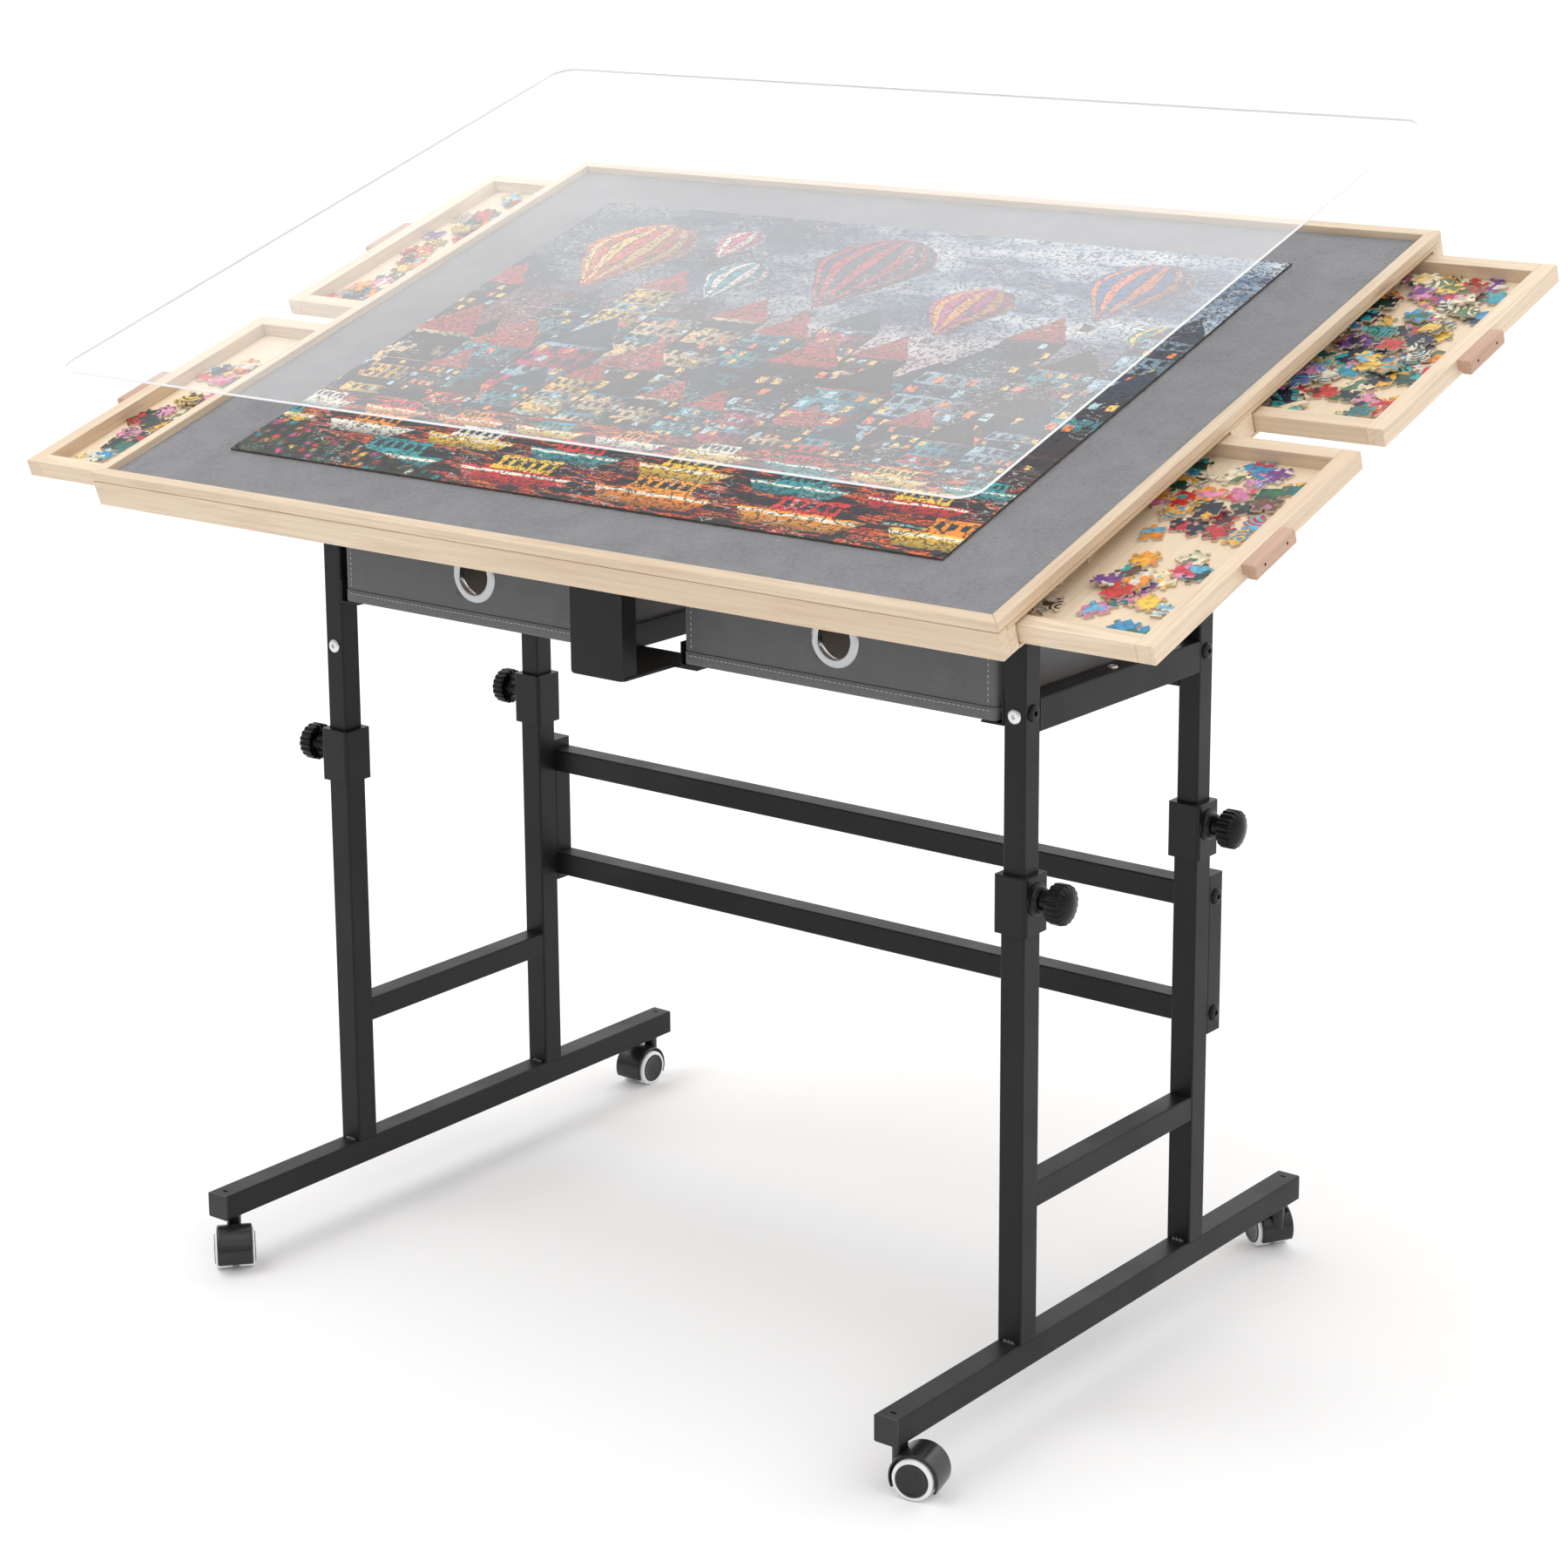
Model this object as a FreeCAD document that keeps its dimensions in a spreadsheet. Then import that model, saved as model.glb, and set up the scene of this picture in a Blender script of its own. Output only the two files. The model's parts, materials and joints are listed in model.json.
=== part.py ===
import FreeCAD, Part

import math
import os

import Sketcher

# Jigsaw puzzle table: a tilting felt board with four wooden tray drawers, on a
# height-adjustable steel frame that carries two fabric drawers and rolls on casters.
# The row frame has +Z up, the floor at Z = 0, the player at -Y, and X = 0 in the middle.
# Board pieces are drawn in the board's own frame: X as above, Y back from the front
# edge along the board, and Z up from the top of the rim.

SIZES = {
    # casters
    "caster_height": 41.0,
    "caster_inset": 15.5,
    "wheel_radius": 16.0,
    "wheel_width": 14.2,
    "wheel_gap": 3.6,
    "hub_radius": 12.6,
    "hub_recess": 1.4,
    "tread_round": 2.0,
    "hub_proud": 0.8,
    "axle_radius": 2.5,
    "caster_trail": 15.0,
    "hood_radius": 19.3,
    "hood_wall": 1.8,
    "hood_width": 29.0,
    "hood_lip": 8.0,
    "hood_round": 2.0,
    "web_width": 2.8,
    "socket_radius": 5.9,
    "socket_length": 21.0,
    "swivel_pin_radius": 4.6,
    "swivel_pin_reach": 12.0,
    # lower frame
    "leg_x": 343.0,
    "leg_y": 118.0,
    "lower_tube": 21.0,
    "upper_tube": 19.0,
    "bar_tube": 20.0,
    "lower_wall": 0.9,
    "tube_wall": 1.2,
    "foot_length": 560.0,
    "cap_flange": 1.6,
    "snap_slot_width": 5.0,
    "snap_slot_length": 2.2,
    "snap_slot_inset": 7.5,
    "cap_plug": 9.0,
    "lower_leg_length": 357.0,
    "low_bar_rise": 103.0,
    "post_gap": 19.5,
    "post_height": 130.0,
    "crossbar_inset": 5.5,
    "crossbar_rise": 96.0,
    "end_plate": 3.0,
    # leg collars and clamp knobs
    "collar_size": 29.0,
    "collar_height": 44.0,
    "collar_lip": 5.5,
    "collar_corner": 3.0,
    "boss_radius": 12.6,
    "boss_nose": 9.2,
    "boss_length": 5.5,
    "knob_drop": 17.6,
    "knob_radius": 15.4,
    "knob_neck": 7.5,
    "knob_standoff": 9.0,
    "knob_grip": 12.0,
    "knob_dome": 4.0,
    "flute_radius": 1.3,
    "clamp_screw": 4.0,
    # upper frame
    "upper_leg_length": 387.0,
    "deck_rise": 189.0,
    "front_reach": 58.5,
    "side_rail_drop": 54.0,
    "side_rail_height": 25.0,
    "leg_bolt_rise": 10.5,
    "runner_rise": 5.5,
    "runner_height": 19.0,
    "runner_ledge": 18.5,
    "runner_sheet": 1.5,
    "runner_inner_x": 32.0,
    "bracket_half": 26.0,
    "bracket_sheet": 2.0,
    "bracket_return": 16.0,
    "bracket_ear": 22.0,
    "bracket_back": 95.0,
    "pad_radius": 8.0,
    "pad_x": 250.0,
    # tilt hinge
    "pivot_height": 9.0,
    "hinge_x": 250.0,
    "hinge_lower_half": 12.0,
    "hinge_upper_width": 11.0,
    "drum_radius": 7.7,
    "hinge_pin": 3.0,
    "hinge_leaf": 2.0,
    # board
    "board_tilt": 18.5,
    "board_width": 884.0,
    "board_depth": 632.5,
    "rim_width": 10.0,
    "rim_height": 7.8,
    "felt_depth": 5.8,
    "panel": 3.0,
    "board_height": 29.5,
    "base_panel": 2.3,
    "front_rail_depth": 19.5,
    "centre_rail_depth": 30.0,
    "rear_rail_depth": 15.0,
    "pivot_back": 104.0,
    "stop_batten": 20.0,
    # puzzle and cover
    "puzzle_width": 702.0,
    "puzzle_depth": 490.0,
    "puzzle_card": 2.0,
    "puzzle_front": 72.0,
    "puzzle_offset": 3.0,
    "cover_sheet": 2.0,
    "cover_lift": 90.0,
    "cover_corner": 18.0,
    # wooden tray drawers
    "tray_reach": 260.0,
    "tray_pull": 106.0,
    "tray_play": 1.5,
    "tray_height": 14.0,
    "tray_wall": 14.0,
    "tray_floor": 3.0,
    "handle_length": 54.0,
    "handle_proud": 11.0,
    "handle_height": 11.0,
    "handle_cove": 3.0,
    # fabric drawers
    "bin_inner_x": 35.5,
    "bin_outer_x": 327.5,
    "bin_front": 128.0,
    "bin_depth": 228.0,
    "bin_headroom": 3.0,
    "bin_wall": 3.5,
    "bin_corner": 4.0,
    "grommet_height": 40.7,
    "grommet_outer": 22.5,
    "grommet_inner": 15.0,
    "grommet_sleeve": 1.2,
    "grommet_flange": 1.8,
    # fasteners
    "bolt_radius": 2.5,
    "bolt_head": 4.6,
    "bolt_head_height": 2.6,
    "bolt_socket": 1.6,
    "bolt_length": 27.0,
    "screw_radius": 2.0,
    "screw_head": 4.2,
    "screw_head_height": 1.6,
    "screw_length": 6.0,
    "left_screw_drop": 112.0,
    "right_screw_drop": 65.0,
    # clearances and edge rounding
    "edge_round": 0.8,
    "seat_gap": 0.3,
    "running_gap": 0.05,
    "hole_gap": 0.1,
}

CASTER_YAW = {"fl": 48.0, "fr": 105.0, "rl": 0.0, "rr": -121.0}
CORNERS = {"fl": (-1, -1), "fr": (1, -1), "rl": (-1, 1), "rr": (1, 1)}
SIDES = {"left": -1, "right": 1}
KNOB_FLUTES = 16


class Dim:
    """A length that knows its value and the sheet formula behind it."""

    def __init__(self, value, formula):
        self.value = float(value)
        self.formula = formula

    def __add__(self, other):
        other = dim(other)
        return Dim(self.value + other.value, "(%s + %s)" % (self.formula, other.formula))

    def __sub__(self, other):
        other = dim(other)
        return Dim(self.value - other.value, "(%s - %s)" % (self.formula, other.formula))

    def __mul__(self, other):
        other = dim(other)
        return Dim(self.value * other.value, "(%s * %s)" % (self.formula, other.formula))

    def __truediv__(self, other):
        other = dim(other)
        return Dim(self.value / other.value, "(%s / %s)" % (self.formula, other.formula))

    def __neg__(self):
        return Dim(-self.value, "(0 - %s)" % self.formula)

    __radd__ = __add__
    __rmul__ = __mul__

    def __rsub__(self, other):
        return dim(other) - self


def dim(number):
    """A plain number as a Dim; a Dim stays as it is."""
    return number if isinstance(number, Dim) else Dim(number, "%.6f" % number)


def cosine(angle):
    return Dim(math.cos(math.radians(angle.value)), "cos(%s * 1 deg)" % angle.formula)


def sine(angle):
    return Dim(math.sin(math.radians(angle.value)), "sin(%s * 1 deg)" % angle.formula)


class Sheet:
    """The driving sizes as attributes, each bound to its cell of the spreadsheet."""

    def __init__(self, doc):
        self.cells = doc.addObject("Spreadsheet::Sheet", "Sizes")
        for row, (alias, value) in enumerate(SIZES.items(), start=1):
            self.cells.set("A%d" % row, alias)
            self.cells.set("B%d" % row, repr(value))
            self.cells.setAlias("B%d" % row, alias)

    def __getattr__(self, alias):
        return Dim(SIZES[alias], "Sizes.%s" % alias)


doc = FreeCAD.newDocument("puzzle_table")
S = Sheet(doc)
doc.recompute()

# The origin plane of each sketch, and the sign of the pad's way along its axis.
PLANES = {"XY": ("XY_Plane", 1), "XZ": ("XZ_Plane", -1), "YZ": ("YZ_Plane", 1)}
parts = {}


# ---------------------------------------------------------------- outlines


def bind(sketch, constraint, length):
    """Adds a constraint whose datum follows a sheet formula."""
    index = sketch.addConstraint(constraint)
    sketch.setExpression("Constraints[%d]" % index, length.formula)


def pin_point(sketch, geometry, vertex, u, v):
    """Holds a vertex at (u, v) from the sketch's origin."""
    for kind, length in (("DistanceX", u), ("DistanceY", v)):
        if abs(length.value) < 1e-9:
            other = "PointOnObject"
            axis = -2 if kind == "DistanceX" else -1
            sketch.addConstraint(Sketcher.Constraint(other, geometry, vertex, axis))
        else:
            place = Sketcher.Constraint(kind, -1, 1, geometry, vertex, length.value)
            bind(sketch, place, length)


def draw_polygon(sketch, points):
    points = [(dim(u), dim(v)) for u, v in points]
    vectors = [FreeCAD.Vector(u.value, v.value, 0) for u, v in points]
    first = sketch.GeometryCount
    for start, end in zip(vectors, vectors[1:] + vectors[:1]):
        sketch.addGeometry(Part.LineSegment(start, end))
    count = len(points)
    for i in range(count):
        following = first + (i + 1) % count
        sketch.addConstraint(Sketcher.Constraint("Coincident", first + i, 2, following, 1))
    for i, (u, v) in enumerate(points):
        pin_point(sketch, first + i, 1, u, v)


def draw_circle(sketch, u, v, radius):
    u, v, radius = dim(u), dim(v), dim(radius)
    centre = FreeCAD.Vector(u.value, v.value, 0)
    ring = sketch.addGeometry(Part.Circle(centre, FreeCAD.Vector(0, 0, 1), radius.value))
    pin_point(sketch, ring, 3, u, v)
    bind(sketch, Sketcher.Constraint("Radius", ring, radius.value), radius)


def rectangle(u0, v0, u1, v1):
    return ("polygon", [(u0, v0), (u1, v0), (u1, v1), (u0, v1)])


def square(u, v, size):
    half = dim(size) / 2
    return rectangle(u - half, v - half, u + half, v + half)


def polygon(*points):
    return ("polygon", list(points))


def circle(u, v, radius):
    return ("circle", (u, v, radius))


# ---------------------------------------------------------------- pieces


class Piece:
    """One PartDesign body, built from sketches on its own origin planes."""

    def __init__(self, label):
        self.body = doc.addObject("PartDesign::Body", label)
        self.body.Label = label

    def plane(self, role):
        return [f for f in self.body.Origin.OriginFeatures if f.Role == role][0]

    def sketch(self, plane, offset, outlines):
        role, way = PLANES[plane]
        sketch = self.body.newObject("Sketcher::SketchObject", self.body.Label + "_outline")
        sketch.AttachmentSupport = [(self.plane(role), "")]
        sketch.MapMode = "FlatFace"
        place = dim(offset) * way
        sketch.AttachmentOffset = FreeCAD.Placement(
            FreeCAD.Vector(0, 0, place.value), FreeCAD.Rotation()
        )
        sketch.setExpression("AttachmentOffset.Base.z", place.formula)
        for kind, shape in outlines:
            if kind == "polygon":
                draw_polygon(sketch, shape)
            else:
                draw_circle(sketch, *shape)
        return sketch

    def extrude(self, feature, plane, start, end, outlines):
        """A pad or pocket of the outlines from start to end along the plane's axis."""
        start, end = dim(start), dim(end)
        way = PLANES[plane][1]
        near = start if way > 0 else end
        sketch = self.sketch(plane, near, outlines)
        solid = self.body.newObject(feature, self.body.Label + "_form")
        solid.Profile = sketch
        solid.Length = end.value - start.value
        solid.setExpression("Length", (end - start).formula)
        solid.Reversed = feature == "PartDesign::Pocket"
        self.body.Tip = solid
        return solid

    def pad(self, plane, start, end, *outlines):
        self.extrude("PartDesign::Pad", plane, start, end, outlines)
        return self

    def cut(self, plane, start, end, *outlines):
        doc.recompute()
        before = self.body.Shape.Volume
        self.last = self.extrude("PartDesign::Pocket", plane, start, end, outlines)
        doc.recompute()
        if self.body.Shape.Volume >= before - 1e-6:
            raise ValueError("cut removed nothing from " + self.body.Label)
        return self

    def revolve(self, plane, axis, outline, feature="PartDesign::Revolution"):
        sketch = self.sketch(plane, 0, [outline])
        solid = self.body.newObject(feature, self.body.Label + "_turned")
        solid.Profile = sketch
        solid.ReferenceAxis = (sketch, [axis])
        solid.Angle = 360
        self.body.Tip = solid
        return self

    def repeat(self, role, count):
        """Repeats the last cut round an axis of the body."""
        pattern = self.body.newObject("PartDesign::PolarPattern", self.body.Label + "_ring")
        pattern.Originals = [self.last]
        pattern.Axis = (self.plane(role), [""])
        pattern.Angle = 360
        pattern.Occurrences = count
        self.body.Tip = pattern
        return self

    def soften(self, radius, chosen):
        """Fillets the edges that chosen(edge) picks."""
        doc.recompute()
        edges = self.body.Shape.Edges
        names = ["Edge%d" % (i + 1) for i, edge in enumerate(edges) if chosen(edge)]
        if not names:
            raise ValueError("no edge to soften on " + self.body.Label)
        base = self.body.Tip
        fillet = self.body.newObject("PartDesign::Fillet", self.body.Label + "_soft")
        fillet.Base = (base, names)
        fillet.Radius = dim(radius).value
        fillet.setExpression("Radius", dim(radius).formula)
        self.body.Tip = fillet
        return self

    def place(self, x=0, y=0, z=0, axis=(0, 0, 1), angle=0):
        """Sets the body down: first turned about its own origin, then moved."""
        spots = {"x": dim(x), "y": dim(y), "z": dim(z)}
        turn = dim(angle)
        self.body.Placement = FreeCAD.Placement(
            FreeCAD.Vector(*(spot.value for spot in spots.values())),
            FreeCAD.Rotation(FreeCAD.Vector(*axis), turn.value),
        )
        for name, spot in spots.items():
            self.body.setExpression("Placement.Base." + name, spot.formula)
        if turn.value:
            self.body.setExpression("Placement.Rotation.Angle", turn.formula)
        return self

    def keep(self):
        """Makes the body a node of its own."""
        parts[self.body.Label] = self.body
        return self


def group(label, pieces):
    """Several separate solids that share one node."""
    compound = doc.addObject("Part::Compound", label)
    compound.Label = label
    compound.Links = [piece.body for piece in pieces]
    parts[label] = compound


def runs_along(direction, length=None):
    """Picks straight edges that run along a direction."""
    axis = FreeCAD.Vector(*direction)

    def chosen(edge):
        if edge.Curve.TypeId != "Part::GeomLine":
            return False
        along = edge.Vertexes[-1].Point - edge.Vertexes[0].Point
        if length is not None and abs(edge.Length - length) > 0.01:
            return False
        return abs(abs(along.normalize().dot(axis)) - 1) < 1e-6

    return chosen


def outermost(direction, span, length=None):
    """Picks edges along a direction that lie on the outside of a square section."""
    along = runs_along(direction, length)
    cross = [i for i in range(3) if not direction[i]]

    def chosen(edge):
        if not along(edge):
            return False
        point = edge.Vertexes[0].Point
        return all(abs(abs(point[i] - span[i][0]) - span[i][1]) < 1e-3 for i in cross)

    return chosen


AXES = {"XY": (0, 0, 1), "XZ": (0, 1, 0), "YZ": (1, 0, 0)}
TUBE_CORNER = 1.5


def tube(label, plane, u, v, size, start, end, wall, height=None):
    """A straight square tube with rounded outer corners, open at both ends.

    u and v are its centre in the plane's own coordinates, start and end its ends.
    """
    u, v, size = dim(u), dim(v), dim(size)
    height = size if height is None else dim(height)
    half_u, half_v = size / 2, height / 2
    outer = rectangle(u - half_u, v - half_v, u + half_u, v + half_v)
    inner = rectangle(
        u - half_u + wall, v - half_v + wall, u + half_u - wall, v + half_v - wall
    )
    piece = Piece(label).pad(plane, start, end, outer, inner)
    span = {"XY": (0, 1), "XZ": (0, 2), "YZ": (1, 2)}[plane]
    middle = {span[0]: (u.value, half_u.value), span[1]: (v.value, half_v.value)}
    return piece.soften(TUBE_CORNER, outermost(AXES[plane], middle))


def on_board(piece):
    """Sets a piece that is drawn in the board's frame down on the tilted board."""
    drop = S.board_height + S.upper_tube + S.drum_radius + S.seat_gap
    tilt = S.board_tilt
    front_y = pivot_y - S.pivot_back * cosine(tilt) - drop * sine(tilt)
    front_z = pivot_z - S.pivot_back * sine(tilt) + drop * cosine(tilt)
    return piece.place(0, front_y, front_z, (1, 0, 0), tilt)


def button_bolt(label, length, radius, head_radius, head_height, socket):
    """A button-head bolt along its own X: head outside X = 0, shank inside."""
    piece = Piece(label).revolve(
        "XZ",
        "H_Axis",
        polygon(
            (-length, 0),
            (-length, radius),
            (0, radius),
            (0, head_radius),
            (head_height * 0.35, head_radius),
            (head_height, head_radius * 0.62),
            (head_height, 0),
        ),
    )
    corners = []
    for turn in range(6):
        angle = math.radians(60 * turn)
        corners.append((socket * math.cos(angle), socket * math.sin(angle)))
    return piece.cut("YZ", head_height * 0.45, head_height + 1, polygon(*corners))


# ---------------------------------------------------------------- lower frame

rail_base = S.caster_height
rail_top = rail_base + S.lower_tube
rail_mid = rail_base + S.lower_tube / 2
lower_leg_top = rail_top + S.lower_leg_length
low_bar_base = rail_top + S.low_bar_rise
collar_low = lower_leg_top + S.collar_lip - S.collar_height
post_base = collar_low - S.post_gap - S.post_height
leg_half = S.upper_tube / 2
post_y = S.leg_y + S.lower_tube / 2 + S.bar_tube / 2
crossbar_low = post_base + S.crossbar_inset
crossbar_high = crossbar_low + S.crossbar_rise
knob_z = lower_leg_top + S.collar_lip - S.knob_drop
caster_y = S.foot_length / 2 - S.caster_inset


def make_foot_rails():
    rails = []
    for name, side in SIDES.items():
        rail = tube(
            "foot_rail_" + name, "XZ", S.leg_x * side, rail_mid, S.lower_tube,
            -S.foot_length / 2, S.foot_length / 2, S.tube_wall,
        )
        hole = S.swivel_pin_radius + S.running_gap
        for end in (-1, 1):
            rail.cut(
                "XY", rail_base - 1, rail_base + S.tube_wall + 1,
                circle(S.leg_x * side, caster_y * end, hole),
            )
            slot_y = (S.foot_length / 2 - S.snap_slot_inset) * end
            rail.cut(
                "XY", rail_top - S.tube_wall - 1, rail_top + 1,
                rectangle(
                    S.leg_x * side - S.snap_slot_width / 2, slot_y - S.snap_slot_length / 2,
                    S.leg_x * side + S.snap_slot_width / 2, slot_y + S.snap_slot_length / 2,
                ),
            )
        rails.append(rail)
    group("foot_rails", rails)


def make_foot_caps():
    caps = []
    plug = S.lower_tube - S.tube_wall * 2 - S.hole_gap * 2
    for corner, (side, end) in CORNERS.items():
        face = S.foot_length / 2
        cap = Piece("foot_cap_" + corner)
        if end > 0:
            flange, stub = (face, face + S.cap_flange), (face - S.cap_plug, face)
        else:
            flange, stub = (-face - S.cap_flange, -face), (-face, -face + S.cap_plug)
        cap.pad("XZ", flange[0], flange[1], square(S.leg_x * side, rail_mid, S.lower_tube))
        middle = {0: (S.leg_x.value * side, S.lower_tube.value / 2)}
        middle[2] = (rail_mid.value, S.lower_tube.value / 2)
        cap.soften(TUBE_CORNER, outermost((0, 1, 0), middle))
        cap.pad("XZ", stub[0], stub[1], square(S.leg_x * side, rail_mid, plug))
        caps.append(cap)
    group("foot_caps", caps)


def make_lower_legs():
    for name, side in SIDES.items():
        legs = []
        for end_name, end in (("front", -1), ("rear", 1)):
            leg = tube(
                "lower_leg_%s_%s" % (end_name, name), "XY", S.leg_x * side, S.leg_y * end,
                S.lower_tube, rail_top, lower_leg_top, S.lower_wall,
            )
            face = S.leg_x + S.lower_tube / 2
            hole = circle(S.leg_y * end, knob_z, S.clamp_screw + S.seat_gap)
            if side > 0:
                leg.cut("YZ", face - S.lower_wall - 1, face + 1, hole)
            else:
                leg.cut("YZ", -face - 1, -face + S.lower_wall + 1, hole)
            legs.append(leg)
        group("lower_legs_" + name, legs)


def make_low_bars():
    reach = S.leg_y - S.lower_tube / 2
    middle = low_bar_base + S.bar_tube / 2
    bars = [
        tube(
            "low_bar_" + name, "XZ", S.leg_x * side, middle, S.bar_tube,
            -reach, reach, S.tube_wall,
        )
        for name, side in SIDES.items()
    ]
    group("low_bars", bars)


def make_rear_posts():
    """The short posts behind the rear legs, capped on top, that take the crossbars."""
    posts = []
    top = post_base + S.post_height
    half = S.bar_tube / 2
    for name, side in SIDES.items():
        x = S.leg_x * side
        post = Piece("rear_post_" + name).pad("XY", post_base, top, square(x, post_y, S.bar_tube))
        middle = {0: (x.value, half.value), 1: (post_y.value, half.value)}
        post.soften(TUBE_CORNER, outermost((0, 0, 1), middle))
        bore = square(x, post_y, S.bar_tube - S.tube_wall * 2)
        post.cut("XY", post_base - 1, top - S.tube_wall, bore)
        for z in (crossbar_low, crossbar_high):
            hole = circle(post_y, z + half, S.bolt_radius + S.hole_gap)
            post.cut("YZ", x - half - 1, x + half + 1, hole)
        posts.append(post)
    group("rear_posts", posts)


def make_crossbars():
    """Two closed tubes between the rear posts, with a threaded plate in each end."""
    reach = S.leg_x - S.bar_tube / 2
    half = S.bar_tube / 2
    bars = []
    for name, z in (("lower", crossbar_low), ("upper", crossbar_high)):
        mid_z = z + half
        bar = Piece("crossbar_" + name).pad("YZ", -reach, reach, square(post_y, mid_z, S.bar_tube))
        middle = {1: (post_y.value, half.value), 2: (mid_z.value, half.value)}
        bar.soften(TUBE_CORNER, outermost((1, 0, 0), middle))
        for start, end in ((-reach - 1, -reach + S.end_plate + 1), (reach - S.end_plate - 1, reach + 1)):
            bar.cut("YZ", start, end, circle(post_y, mid_z, S.bolt_radius + S.hole_gap))
        bore = square(post_y, mid_z, S.bar_tube - S.tube_wall * 2)
        bar.cut("YZ", -reach + S.end_plate, reach - S.end_plate, bore)
        bars.append(bar)
    group("crossbars", bars)


def make_crossbar_bolts():
    bolts = []
    face = S.leg_x + S.bar_tube / 2
    for name, side in SIDES.items():
        for level, z in (("lower", crossbar_low), ("upper", crossbar_high)):
            bolt = button_bolt(
                "crossbar_bolt_%s_%s" % (name, level), S.bolt_length, S.bolt_radius,
                S.bolt_head, S.bolt_head_height, S.bolt_socket.value,
            )
            turn = 0 if side > 0 else 180
            bolt.place(face * side, post_y, z + S.bar_tube / 2, (0, 0, 1), turn)
            bolts.append(bolt)
    group("crossbar_bolts", bolts)


def make_collars():
    """Plastic sleeves on the tops of the lower legs, each with a flared, threaded boss."""
    collars = []
    half = S.collar_size / 2
    low, high = S.knob_drop - S.collar_height, S.knob_drop
    flare = S.boss_radius - S.boss_nose
    nose = half + S.boss_length
    for corner, (side, end) in CORNERS.items():
        collar = Piece("collar_" + corner)
        collar.pad("XY", low, high, square(dim(0), dim(0), S.collar_size))
        collar.soften(S.collar_corner, runs_along((0, 0, 1)))
        collar.soften(S.edge_round, lambda edge: edge.BoundBox.ZMin > high.value - 0.01)
        collar.cut(
            "XY", low - 1, high - S.collar_lip + S.seat_gap,
            square(dim(0), dim(0), S.lower_tube + S.hole_gap * 2),
        )
        collar.cut(
            "XY", high - S.collar_lip, high + 1,
            square(dim(0), dim(0), S.upper_tube + S.hole_gap * 4),
        )
        collar.revolve(
            "XZ",
            "H_Axis",
            polygon(
                (half - 1, 0),
                (half - 1, S.boss_radius),
                (half + 0.9, S.boss_radius),
                (half + 1.8, S.boss_nose + flare * 0.45),
                (half + 3.2, S.boss_nose + flare * 0.12),
                (nose, S.boss_nose),
                (nose, 0),
            ),
        )
        bore = circle(0, 0, S.clamp_screw + S.running_gap)
        collar.cut("YZ", S.upper_tube / 2 - 1, nose + 1, bore)
        turn = 0 if side > 0 else 180
        collar.place(S.leg_x * side, S.leg_y * end, knob_z, (0, 0, 1), turn)
        collars.append(collar)
    group("leg_collars", collars)


def make_knobs():
    """Clamp knobs: a screw shank, a waisted neck and a domed, fluted grip."""
    shank = S.upper_tube / 2 + S.running_gap
    neck = S.collar_size / 2 + S.boss_length + S.seat_gap
    grip = neck + S.knob_standoff - S.seat_gap
    rim = grip + S.knob_grip
    top = rim + S.knob_dome
    for corner, (side, end) in CORNERS.items():
        knob = Piece("knob_" + corner).revolve(
            "XZ",
            "H_Axis",
            polygon(
                (shank, 0),
                (shank, S.clamp_screw),
                (neck, S.clamp_screw),
                (neck, S.knob_neck),
                (grip - 2, S.knob_neck * 0.9),
                (grip, S.knob_radius * 0.8),
                (grip + 1.2, S.knob_radius),
                (rim - 1, S.knob_radius),
                (rim + 1.4, S.knob_radius * 0.88),
                (top - 0.6, S.knob_radius * 0.55),
                (top, S.knob_radius * 0.2),
                (top, 0),
            ),
        )
        flute = circle(0, S.knob_radius + S.flute_radius * 0.35, S.flute_radius)
        knob.cut("YZ", grip - 1, rim - 0.5, flute)
        knob.repeat("X_Axis", KNOB_FLUTES)
        turn = 0 if side > 0 else 180
        knob.place(S.leg_x * side, S.leg_y * end, knob_z, (0, 0, 1), turn).keep()


# ---------------------------------------------------------------- casters


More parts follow.
